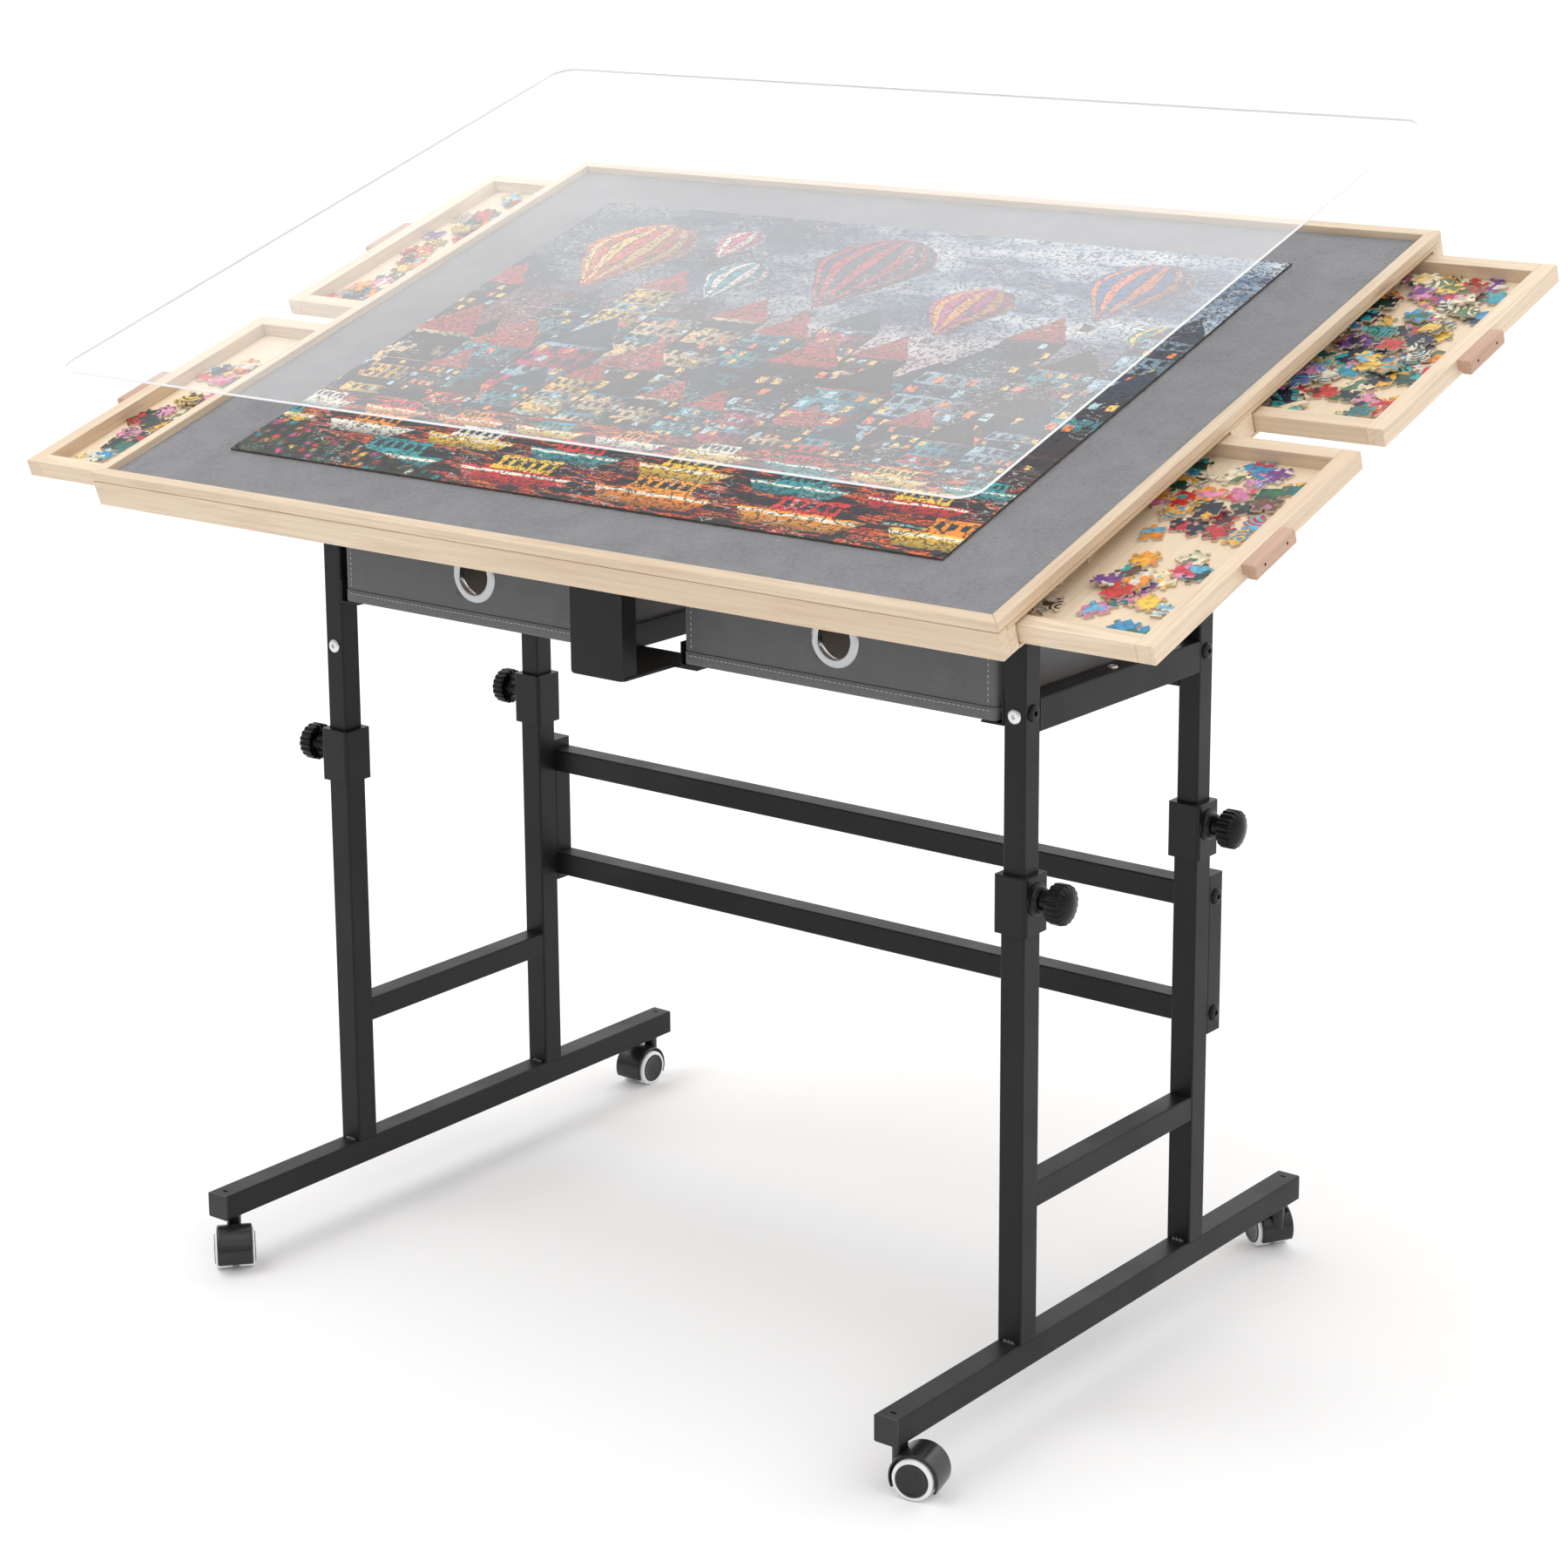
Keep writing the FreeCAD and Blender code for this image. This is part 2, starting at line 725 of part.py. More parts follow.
def make_casters():
    """Twin-wheel casters: a swivelling hood over two white wheels with black hubs."""
    axle_y = -S.caster_trail
    half_hood = S.hood_width / 2
    half_web = S.web_width / 2
    half_gap = S.wheel_gap / 2
    outer = half_gap + S.wheel_width
    for corner, (side, end) in CORNERS.items():
        spot = (S.leg_x * side, caster_y * end, 0, (0, 0, 1), CASTER_YAW[corner])

        hood = Piece("caster_hood_" + corner)
        hood.pad("YZ", -half_hood, half_hood, circle(axle_y, S.wheel_radius, S.hood_radius))
        hood.soften(S.hood_round, lambda edge: True)
        hood.pad(
            "XY", S.caster_height - S.socket_length, S.caster_height - S.seat_gap,
            circle(0, 0, S.socket_radius),
        )
        hood.pad(
            "XY", S.caster_height - 1, S.caster_height + S.swivel_pin_reach,
            circle(0, 0, S.swivel_pin_radius),
        )
        hood.cut(
            "YZ", -half_hood - 1, half_hood + 1,
            rectangle(
                axle_y - S.hood_radius * 2, -S.hood_radius, axle_y + S.hood_radius * 2, S.hood_lip
            ),
        )
        cavity = circle(axle_y, S.wheel_radius, S.hood_radius - S.hood_wall)
        hood.cut("YZ", half_web, half_hood + 1, cavity)
        hood.cut("YZ", -half_hood - 1, -half_web, cavity)
        axle_hole = circle(axle_y, S.wheel_radius, S.axle_radius + S.running_gap)
        hood.cut("YZ", -half_web - 1, half_web + 1, axle_hole)
        hood.place(*spot).keep()

        pieces = []
        for sign, name in ((-1, "near"), (1, "far")):
            wheel = Piece("caster_wheel_%s_%s" % (corner, name))
            start, stop = (half_gap, outer) if sign > 0 else (-outer, -half_gap)
            wheel.pad(
                "YZ", start, stop, circle(axle_y, S.wheel_radius, S.wheel_radius),
                circle(axle_y, S.wheel_radius, S.axle_radius + S.running_gap),
            )
            face = outer.value * sign
            wheel.soften(
                S.tread_round,
                lambda edge, face=face: abs(edge.CenterOfMass.x - face) < 0.01
                and edge.BoundBox.ZLength > S.wheel_radius.value,
            )
            recess = (outer - S.hub_recess, outer + 1)
            if sign < 0:
                recess = (-outer - 1, -outer + S.hub_recess)
            wheel.cut("YZ", *recess, circle(axle_y, S.wheel_radius, S.hub_radius + S.hole_gap))
            hub = Piece("caster_hub_%s_%s" % (corner, name))
            inside, proud = outer - S.hub_recess, outer + S.hub_proud
            ends = (inside, proud) if sign > 0 else (-proud, -inside)
            hub.pad("YZ", ends[0], ends[1], circle(axle_y, S.wheel_radius, S.hub_radius))
            tip = proud.value * sign
            hub.soften(0.7, lambda edge, tip=tip: abs(edge.CenterOfMass.x - tip) < 0.01)
            pieces += [wheel.place(*spot), hub.place(*spot)]
        axle = Piece("caster_axle_" + corner)
        reach = outer - S.hub_recess
        axle.pad("YZ", -reach, reach, circle(axle_y, S.wheel_radius, S.axle_radius))
        pieces.append(axle.place(*spot))
        group("caster_wheels_" + corner, pieces)


# ---------------------------------------------------------------- upper frame

deck_base = lower_leg_top + S.deck_rise
upper_leg_base = deck_base - S.upper_leg_length
side_rail_base = deck_base - S.side_rail_drop - S.side_rail_height
runner_base = side_rail_base + S.runner_rise
deck_mid = deck_base + leg_half
deck_top = deck_base + S.upper_tube
inner_face = S.leg_x - leg_half
outer_face = S.leg_x + leg_half
beam_front = -(S.leg_y + leg_half + S.front_reach)
beam_back = beam_front + S.upper_tube
pivot_y = beam_front + leg_half
pivot_z = deck_top + S.pivot_height
leg_bolt_z = runner_base + S.leg_bolt_rise


def make_upper_legs():
    for name, side in SIDES.items():
        legs = []
        for end_name, end in (("front", -1), ("rear", 1)):
            x, y = S.leg_x * side, S.leg_y * end
            leg = tube(
                "upper_leg_%s_%s" % (end_name, name), "XY", x, y, S.upper_tube,
                upper_leg_base, deck_base, S.tube_wall,
            )
            leg.cut(
                "YZ", x - leg_half - 1, x + leg_half + 1,
                circle(y, leg_bolt_z, S.bolt_radius + S.hole_gap),
            )
            if end < 0:
                height = deck_base - (S.left_screw_drop if side < 0 else S.right_screw_drop)
                leg.cut(
                    "XZ", y - leg_half - 1, y - leg_half + S.tube_wall + 1,
                    circle(x, height, S.screw_radius + S.hole_gap),
                )
            legs.append(leg)
        group("upper_legs_" + name, legs)


def make_deck():
    """The rectangle of tubes on top of the legs that carries the tilt hinges."""
    for name, side in SIDES.items():
        tube(
            "side_arm_" + name, "XZ", S.leg_x * side, deck_mid, S.upper_tube,
            beam_back, S.leg_y + leg_half, S.tube_wall,
        ).keep()
    tube(
        "front_beam", "YZ", beam_back - leg_half, deck_mid, S.upper_tube,
        -outer_face, outer_face, S.tube_wall,
    ).keep()
    tube(
        "rear_beam", "YZ", S.leg_y, deck_mid, S.upper_tube,
        -inner_face, inner_face, S.tube_wall,
    ).keep()
    tube(
        "back_rail", "YZ", S.leg_y, runner_base - leg_half, S.upper_tube,
        -inner_face, inner_face, S.tube_wall,
    ).keep()


def make_side_rails():
    reach = S.leg_y - leg_half
    middle = side_rail_base + S.side_rail_height / 2
    for name, side in SIDES.items():
        rail = tube(
            "side_rail_" + name, "XZ", S.leg_x * side, middle, S.upper_tube,
            -reach, reach, S.tube_wall, height=S.side_rail_height,
        )
        top = side_rail_base + S.side_rail_height
        rail.cut(
            "XY", top - S.tube_wall - 1, top + 1,
            circle(S.leg_x * side, 0, S.screw_radius + S.hole_gap),
        )
        rail.keep()


def make_runners():
    """L-shaped runners under the long edges of the fabric drawers."""
    base, top = runner_base, runner_base + S.runner_height
    ledge = base + S.runner_sheet
    reach = S.leg_y + leg_half
    for name, side in SIDES.items():
        wall = S.runner_inner_x + S.runner_sheet
        inner = Piece("runner_inner_" + name).pad(
            "XZ", -reach, reach,
            polygon(
                (S.runner_inner_x * side, base),
                ((wall + S.runner_ledge) * side, base),
                ((wall + S.runner_ledge) * side, ledge),
                (wall * side, ledge),
                (wall * side, top),
                (S.runner_inner_x * side, top),
            ),
        )
        wall = inner_face - S.runner_sheet
        outer = Piece("runner_outer_" + name).pad(
            "XZ", -reach, reach,
            polygon(
                (inner_face * side, base),
                ((wall - S.runner_ledge) * side, base),
                ((wall - S.runner_ledge) * side, ledge),
                (wall * side, ledge),
                (wall * side, top),
                (inner_face * side, top),
            ),
        )
        for y in (-S.leg_y, S.leg_y):
            hole = circle(y, leg_bolt_z, S.bolt_radius + S.hole_gap)
            start, end = (wall - 1, inner_face + 1) if side > 0 else (-inner_face - 1, -wall + 1)
            outer.cut("YZ", start, end, hole)
        group("drawer_runners_" + name, [inner, outer])


def make_center_bracket():
    """A folded bracket from the front beam down to the two inner runners."""
    half, sheet = S.bracket_half, S.bracket_sheet
    base = runner_base - sheet
    front = beam_front - sheet
    bracket = Piece("center_bracket")
    bracket.pad("XZ", front, beam_front, rectangle(-half, base, half, deck_top))
    bracket.soften(3.0, lambda edge: edge.BoundBox.ZMax < base.value + 0.01
                   and edge.BoundBox.XLength < 0.01)
    ear = half + S.bracket_ear
    ear_front = -(S.leg_y + leg_half)
    bracket.pad(
        "XY", base, runner_base,
        polygon(
            (-half + 3, front), (half - 3, front), (half, front + 3),
            (half, ear_front), (ear, ear_front), (ear, -S.bracket_back),
            (-ear, -S.bracket_back), (-ear, ear_front), (-half, ear_front),
            (-half, front + 3),
        ),
    )
    for side in (-1, 1):
        edges = (half - sheet, half) if side > 0 else (-half, -half + sheet)
        bracket.pad(
            "YZ", edges[0], edges[1],
            rectangle(front, base + 3, front + S.bracket_return, deck_base - S.seat_gap),
        )
    bracket.keep()


def make_frame_fasteners():
    bolts, screws = [], []
    for corner, (side, end) in CORNERS.items():
        bolt = button_bolt(
            "frame_bolt_" + corner, S.upper_tube + S.runner_sheet + 1.0, S.bolt_radius,
            S.bolt_head, S.bolt_head_height, S.bolt_socket.value,
        )
        turn = 0 if side > 0 else 180
        spot = (outer_face * side, S.leg_y * end, leg_bolt_z)
        bolts.append(bolt.place(*spot, (0, 0, 1), turn))
    group("frame_bolts", bolts)
    top = side_rail_base + S.side_rail_height
    for name, side in SIDES.items():
        height = deck_base - (S.left_screw_drop if side < 0 else S.right_screw_drop)
        leg_screw = button_bolt(
            "leg_screw_" + name, S.screw_length, S.screw_radius,
            S.screw_head, S.screw_head_height, 1.3,
        )
        leg_screw.place(S.leg_x * side, -S.leg_y - leg_half, height, (0, 0, 1), -90)
        rail_screw = button_bolt(
            "rail_screw_" + name, S.screw_length, S.screw_radius,
            S.screw_head, S.screw_head_height, 1.3,
        )
        rail_screw.place(S.leg_x * side, 0, top, (0, 1, 0), -90)
        screws += [leg_screw, rail_screw]
    group("frame_screws", screws)


def make_rest_pads():
    """Rubber pads on the rear beam that the flat board comes down on."""
    top = deck_top + S.pivot_height + S.drum_radius
    pads = []
    for name, side in SIDES.items():
        pad = Piece("rest_pad_" + name).revolve(
            "XZ",
            "V_Axis",
            polygon(
                (0, deck_top), (S.pad_radius, deck_top), (S.pad_radius * 0.8, top - 1.5),
                (S.pad_radius * 0.6, top), (0, top),
            ),
        )
        pads.append(pad.place(S.pad_x * side, S.leg_y, 0))
    group("rest_pads", pads)


# ---------------------------------------------------------------- tilt hinges



def make_hinges():
    """Drum hinges on the front beam, with their ratchets closed inside the drums."""
    half = S.hinge_lower_half
    gap = S.seat_gap
    lowers, uppers = [], []
    pivot_drop = -(S.board_height + S.upper_tube + S.drum_radius + gap)
    tube_base = -(S.board_height + S.upper_tube)
    for name, side in SIDES.items():
        x = S.hinge_x * side
        lower = Piece("tilt_hinge_lower_" + name)
        lower.pad(
            "YZ", x - half, x + half,
            rectangle(beam_front, deck_top, beam_back, deck_top + S.hinge_leaf),
        )
        lower.pad("YZ", x - half, x + half, circle(pivot_y, pivot_z, S.drum_radius))
        lower.cut(
            "YZ", x - half - 1, x + half + 1,
            circle(pivot_y, pivot_z, S.hinge_pin + S.running_gap),
        )
        lowers.append(lower)

        upper = Piece("tilt_hinge_upper_" + name)
        front = S.pivot_back - leg_half
        for way in (-1, 1):
            near, far = half + gap, half + gap + S.hinge_upper_width
            start, end = (x + near, x + far) if way > 0 else (x - far, x - near)
            upper.pad(
                "YZ", start, end,
                rectangle(front, tube_base - S.hinge_leaf, front + S.upper_tube, tube_base),
            )
            upper.pad("YZ", start, end, circle(S.pivot_back, pivot_drop, S.drum_radius))
        reach = half + gap + S.hinge_upper_width
        upper.pad(
            "YZ", x - reach, x + reach, circle(S.pivot_back, pivot_drop, S.hinge_pin)
        )
        uppers.append(on_board(upper))
    group("tilt_hinge_lower", lowers)
    group("tilt_hinge_upper", uppers)


# ---------------------------------------------------------------- board

half_width = S.board_width / 2
inner_x = half_width - S.rim_width
rim_base = -S.rim_height
panel_base = rim_base - S.panel
board_base = -S.board_height
base_top = board_base + S.base_panel
bay_1 = S.front_rail_depth
back_rail_front = S.board_depth - S.rear_rail_depth
bay_length = (back_rail_front - bay_1 - S.centre_rail_depth) / 2
bay_2 = bay_1 + bay_length + S.centre_rail_depth


def slab(label, x0, x1, y0, y1, z0, z1):
    return Piece(label).pad("XY", z0, z1, rectangle(x0, y0, x1, y1))


def make_rim():
    """Four mitred strips round the felt."""
    width, depth, rim = half_width, S.board_depth, S.rim_width
    front = polygon((-width, 0), (width, 0), (width - rim, rim), (-width + rim, rim))
    back = polygon(
        (width, depth), (-width, depth), (-width + rim, depth - rim), (width - rim, depth - rim)
    )
    left = polygon((-width, depth), (-width, 0), (-width + rim, rim), (-width + rim, depth - rim))
    right = polygon((width, 0), (width, depth), (width - rim, depth - rim), (width - rim, rim))
    strips = []
    for name, outline in (("front", front), ("back", back), ("left", left), ("right", right)):
        strip = Piece("rim_" + name).pad("XY", rim_base, 0, outline)
        strip.soften(
            S.edge_round,
            lambda edge: edge.BoundBox.ZMin > -0.01 and edge.Length > rim.value * 2,
        )
        strips.append(on_board(strip))
    group("rim", strips)


def make_board():
    rim, depth = S.rim_width, S.board_depth
    on_board(slab("top_panel", -half_width, half_width, rim, depth - rim, panel_base, rim_base)).keep()
    gap = S.hole_gap
    on_board(
        slab(
            "felt", -inner_x + gap, inner_x - gap, rim + gap, depth - rim - gap,
            rim_base, -S.felt_depth,
        )
    ).keep()
    on_board(
        slab(
            "bottom_panel", -half_width, half_width, bay_1, back_rail_front,
            board_base, base_top,
        )
    ).keep()
    front = Piece("front_rail").pad(
        "YZ", -half_width, half_width,
        polygon(
            (0, rim_base), (rim, rim_base), (rim, panel_base), (bay_1, panel_base),
            (bay_1, board_base), (0, board_base),
        ),
    )
    back = Piece("rear_rail").pad(
        "YZ", -half_width, half_width,
        polygon(
            (depth, rim_base), (depth - rim, rim_base), (depth - rim, panel_base),
            (back_rail_front, panel_base), (back_rail_front, board_base), (depth, board_base),
        ),
    )
    centre = slab(
        "centre_rail", -half_width, half_width, bay_1 + bay_length, bay_2,
        base_top, panel_base,
    )
    group("wood_rails", [on_board(rail) for rail in (front, back, centre)])
    stops = []
    stop_x = half_width - S.tray_reach - S.tray_play
    for name, side in SIDES.items():
        for bay_name, bay in (("front", bay_1), ("rear", bay_2)):
            inside = (stop_x - S.stop_batten) * side
            outside = stop_x * side
            x0, x1 = (inside, outside) if side > 0 else (outside, inside)
            stop = slab(
                "drawer_stop_%s_%s" % (bay_name, name), x0, x1, bay, bay + bay_length,
                base_top, panel_base,
            )
            stops.append(on_board(stop))
    group("drawer_stops", stops)


def make_tilt_frame():
    """The steel rectangle under the board that the upper hinge leaves are welded to."""
    base = board_base - S.upper_tube
    mid = base + leg_half
    front = S.pivot_back - leg_half
    rear_mid = S.pivot_back + (S.leg_y - pivot_y)
    tubes = []
    for name, side in SIDES.items():
        tubes.append(
            tube(
                "tilt_tube_" + name, "XZ", S.leg_x * side, mid, S.upper_tube,
                front, rear_mid + leg_half, S.tube_wall,
            )
        )
    for name, y in (("front", S.pivot_back), ("rear", rear_mid)):
        tubes.append(
            tube(
                "tilt_tube_" + name, "YZ", y, mid, S.upper_tube,
                -inner_face, inner_face, S.tube_wall,
            )
        )
    group("tilt_frame", [on_board(piece) for piece in tubes])


def make_puzzle_and_cover():
    front = S.puzzle_front
    half = S.puzzle_width / 2
    puzzle = slab(
        "puzzle", -half - S.puzzle_offset, half - S.puzzle_offset,
        front, front + S.puzzle_depth, -S.felt_depth, -S.felt_depth + S.puzzle_card,
    )
    on_board(puzzle).keep()
    cover = slab(
        "cover", -half_width, half_width, 0, S.board_depth,
        S.cover_lift, S.cover_lift + S.cover_sheet,
    )
    cover.soften(S.cover_corner, runs_along((0, 0, 1)))
    on_board(cover).keep()


# ---------------------------------------------------------------- tray drawers


def make_tray(name, side, bay):
    """A shallow wooden tray: four walls round a plywood floor, and a pull."""
    outer = half_width + S.tray_pull
    inner = outer - S.tray_reach
    front, back = bay + S.tray_play, bay + bay_length - S.tray_play
    base = base_top + S.seat_gap
    top = base + S.tray_height
    wall = S.tray_wall

    def strip(part, x0, x1, y0, y1, z1):
        ends = (x0, x1) if side > 0 else (-x1, -x0)
        piece = slab("tray_%s_%s" % (part, name), ends[0], ends[1], y0, y1, base, z1)
        return on_board(piece)

    group(
        "tray_" + name,
        [
            strip("outer_wall", outer - wall, outer, front, back, top),
            strip("inner_wall", inner, inner + wall, front, back, top),
            strip("front_wall", inner + wall, outer - wall, front, front + wall, top),
            strip("back_wall", inner + wall, outer - wall, back - wall, back, top),
            strip(
                "floor", inner + wall, outer - wall, front + wall, back - wall,
                base + S.tray_floor,
            ),
        ],
    )
    middle = (front + back) / 2
    foot = top - S.handle_height
    tip = outer + S.handle_proud
    cove = S.handle_cove
    half = S.handle_length / 2
    handle = Piece("handle_" + name).pad(
        "XZ", middle - half, middle + half,
        polygon(
            (outer * side, top),
            ((tip - 1) * side, top),
            (tip * side, top - 1),
            (tip * side, foot + 1),
            ((tip - 1) * side, foot),
            ((outer + cove * 1.6) * side, foot),
            ((outer + cove) * side, foot + cove * 0.7),
            ((outer + cove * 0.5) * side, foot + cove),
            (outer * side, foot + cove),
        ),
    )
    on_board(handle).keep()


def make_trays():
    for bay_name, bay in (("front", bay_1), ("rear", bay_2)):
        for side_name, side in SIDES.items():
            make_tray("%s_%s" % (bay_name, side_name), side, bay)


# ---------------------------------------------------------------- fabric drawers


def make_fabric_drawers():
    """Stiffened fabric boxes with a metal grommet as a finger hole."""
    base = runner_base + S.runner_sheet + S.seat_gap
    top = deck_base - S.bin_headroom
    wall = S.bin_wall
    front, back = -S.bin_front, -S.bin_front + S.bin_depth
    middle = (S.bin_inner_x + S.bin_outer_x) / 2
    eye = base + S.grommet_height
    for name, side in SIDES.items():
        x0, x1 = S.bin_inner_x * side, S.bin_outer_x * side
        if side < 0:
            x0, x1 = x1, x0
        drawer = slab("fabric_drawer_" + name, x0, x1, front, back, base, top)
        drawer.soften(S.bin_corner, runs_along((0, 0, 1)))
        drawer.cut("XY", base + wall, top + 1, rectangle(x0 + wall, front + wall, x1 - wall, back - wall))
        sleeve = S.grommet_inner + S.grommet_sleeve
        drawer.cut("XZ", front - 1, front + wall + 1, circle(middle * side, eye, sleeve + S.hole_gap))
        drawer.keep()

        flange = S.grommet_flange
        grommet = Piece("grommet_" + name).revolve(
            "YZ",
            "H_Axis",
            polygon(
                (-flange * 0.55, S.grommet_inner),
                (-flange, S.grommet_inner + 1.2),
                (-flange, S.grommet_inner + 3.2),
                (-flange * 0.45, S.grommet_outer - 0.6),
                (0, S.grommet_outer),
                (0, sleeve),
                (wall, sleeve),
                (wall, S.grommet_outer - 1.5),
                (wall + 0.8, S.grommet_outer - 1.5),
                (wall + 0.8, S.grommet_inner),
            ),
        )
        grommet.place(middle * side, front, eye).keep()


# ---------------------------------------------------------------- build, check, write


def check(name, obj):
    shape = obj.Shape
    if shape.isNull() or not shape.isValid() or not shape.Solids:
        raise ValueError("bad shape: " + name)


make_foot_rails()
make_foot_caps()
make_lower_legs()
make_low_bars()
make_rear_posts()
make_crossbars()
make_crossbar_bolts()
make_collars()
make_knobs()
make_casters()
make_upper_legs()
make_deck()
make_side_rails()
make_runners()
make_center_bracket()
make_frame_fasteners()
make_rest_pads()
make_hinges()
make_rim()
make_board()
make_tilt_frame()
make_puzzle_and_cover()
make_trays()
make_fabric_drawers()
doc.recompute()

for obj in doc.Objects:
    if "Invalid" in obj.State or "Error" in obj.State:
        raise ValueError("failed: %s %s" % (obj.Label, obj.State))
os.makedirs("parts", exist_ok=True)
for name, obj in parts.items():
    check(name, obj)
    obj.Shape.exportStep("parts/%s.step" % name)
print("wrote %d parts" % len(parts))
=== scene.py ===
import json
import logging
import math
from collections.abc import Callable
from dataclasses import dataclass
from enum import Enum

import bpy
import bmesh
import numpy as np
from mathutils import Matrix, Vector


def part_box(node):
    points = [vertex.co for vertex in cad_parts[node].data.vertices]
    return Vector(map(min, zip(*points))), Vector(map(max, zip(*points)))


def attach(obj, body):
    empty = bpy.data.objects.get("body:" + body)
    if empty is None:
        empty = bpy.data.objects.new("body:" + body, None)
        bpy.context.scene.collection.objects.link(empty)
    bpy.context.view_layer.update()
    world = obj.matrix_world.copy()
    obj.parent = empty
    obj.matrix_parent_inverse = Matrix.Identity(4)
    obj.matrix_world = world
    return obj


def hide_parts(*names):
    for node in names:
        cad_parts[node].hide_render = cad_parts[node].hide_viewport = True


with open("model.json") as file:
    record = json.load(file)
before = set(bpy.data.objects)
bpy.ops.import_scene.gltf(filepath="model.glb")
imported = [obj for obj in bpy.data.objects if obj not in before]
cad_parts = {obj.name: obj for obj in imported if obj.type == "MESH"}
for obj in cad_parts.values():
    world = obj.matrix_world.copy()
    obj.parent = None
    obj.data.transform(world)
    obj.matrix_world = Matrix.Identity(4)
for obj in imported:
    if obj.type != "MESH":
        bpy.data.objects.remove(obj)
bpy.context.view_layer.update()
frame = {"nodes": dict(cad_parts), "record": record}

Array = np.ndarray
Shape = tuple[Array, list[Array]]
Pair = tuple[float, float]
Triple = tuple[float, float, float]
Inputs = dict[str | int, object]
Outputs = dict[str, "Value"]
Piece = bpy.types.Object
Colour = tuple[float, float, float, float]
# Sizes are in millimetres, and MM turns them into metres. HAIR is a width as good as none, for the closed
# ends and square steps of turned shapes. The mount on the felt lies at BED_DEPTH and BED_HEIGHT in the
# board's own frame.
MM = 0.001
HAIR = 0.01
SIDES = {"left": -1, "right": 1}
CORNERS = {"fl": -1, "fr": 1, "rl": -1, "rr": 1}
BED_DEPTH, BED_HEIGHT = 40.0, -5.8
CASTER_YAW = {"fl": 48.0, "fr": 105.0, "rl": 0.0, "rr": -121.0}
log = logging.getLogger("puzzle_table")


# ---------- the board's own frame


@dataclass(frozen=True)
class BoardFrame:
    """The tilted frame of the board: X, depth back from the front edge, height over the rim."""

    tilt: float
    front_y: float
    front_z: float

    def place(self, points: Array) -> Array:
        """Turns points of the board's frame about X by the tilt and moves them into place.

        Args:
            points: Array of x, depth, height, one row for each point.

        Returns:
            The same points in the row frame, in metres.
        """
        c, s = math.cos(self.tilt), math.sin(self.tilt)
        x, depth, height = np.moveaxis(points * MM, -1, 0)
        y = self.front_y + depth * c - height * s
        z = self.front_z + depth * s + height * c
        return np.stack([x, y, z], -1)


def board_frame() -> BoardFrame:
    """Works out the board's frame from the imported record's mount on the felt.

    Returns:
        The frame, with its origin at the top of the rim's front edge.
    """
    bed = [m for m in frame["record"]["mounts"] if m["name"] == "puzzle_bed"][0]
    tilt = math.atan2(-bed["axis"][1], bed["axis"][2])
    c, s = math.cos(tilt), math.sin(tilt)
    depth, height = BED_DEPTH * MM, BED_HEIGHT * MM
    _, y, z = bed["pos_m"]
    return BoardFrame(tilt, y - depth * c + height * s, z - depth * s - height * c)


BOARD = board_frame()


# ---------- mesh tools


def circle(steps: int) -> Array:
    """Angles of steps points evenly round a circle."""
    return np.linspace(0, 2 * np.pi, steps, endpoint=False)


def grid_quads(rows: int, cols: int, wrap: bool = True) -> Array:
    """Quads between the neighbours of a rows x cols grid of points.

    Args:
        rows: Number of rows.
        cols: Number of points in a row.
        wrap: Whether the last column joins the first.

    Returns:
        Vertex numbers, one row of four for each quad.
    """
    i, j = np.meshgrid(np.arange(rows - 1), np.arange(cols if wrap else cols - 1), indexing="ij")
    k = (j + 1) % cols
    return np.stack([i * cols + j, i * cols + k, (i + 1) * cols + k, (i + 1) * cols + j], -1).reshape(-1, 4)


def tube_faces(rows: int, cols: int) -> list[Array]:
    """Faces of a closed skin: the grid's quads and a flat cap on each end ring."""
    ring = np.arange(cols)
    return [grid_quads(rows, cols), ring[None, ::-1], (ring + (rows - 1) * cols)[None]]


def slab_faces(size: int) -> list[Array]:
    """Faces of a flat piece with size corners: the top, the bottom and the sides between."""
    ring = np.arange(size)
    return [ring[None] + size, ring[None, ::-1], wall_faces(ring, size)]


def wall_faces(ring: Array, size: int) -> Array:
    """Quads that join a closed ring of points to the same ring size points later."""
    after = np.roll(ring, -1)
    return np.column_stack([ring, after, after + size, ring + size])


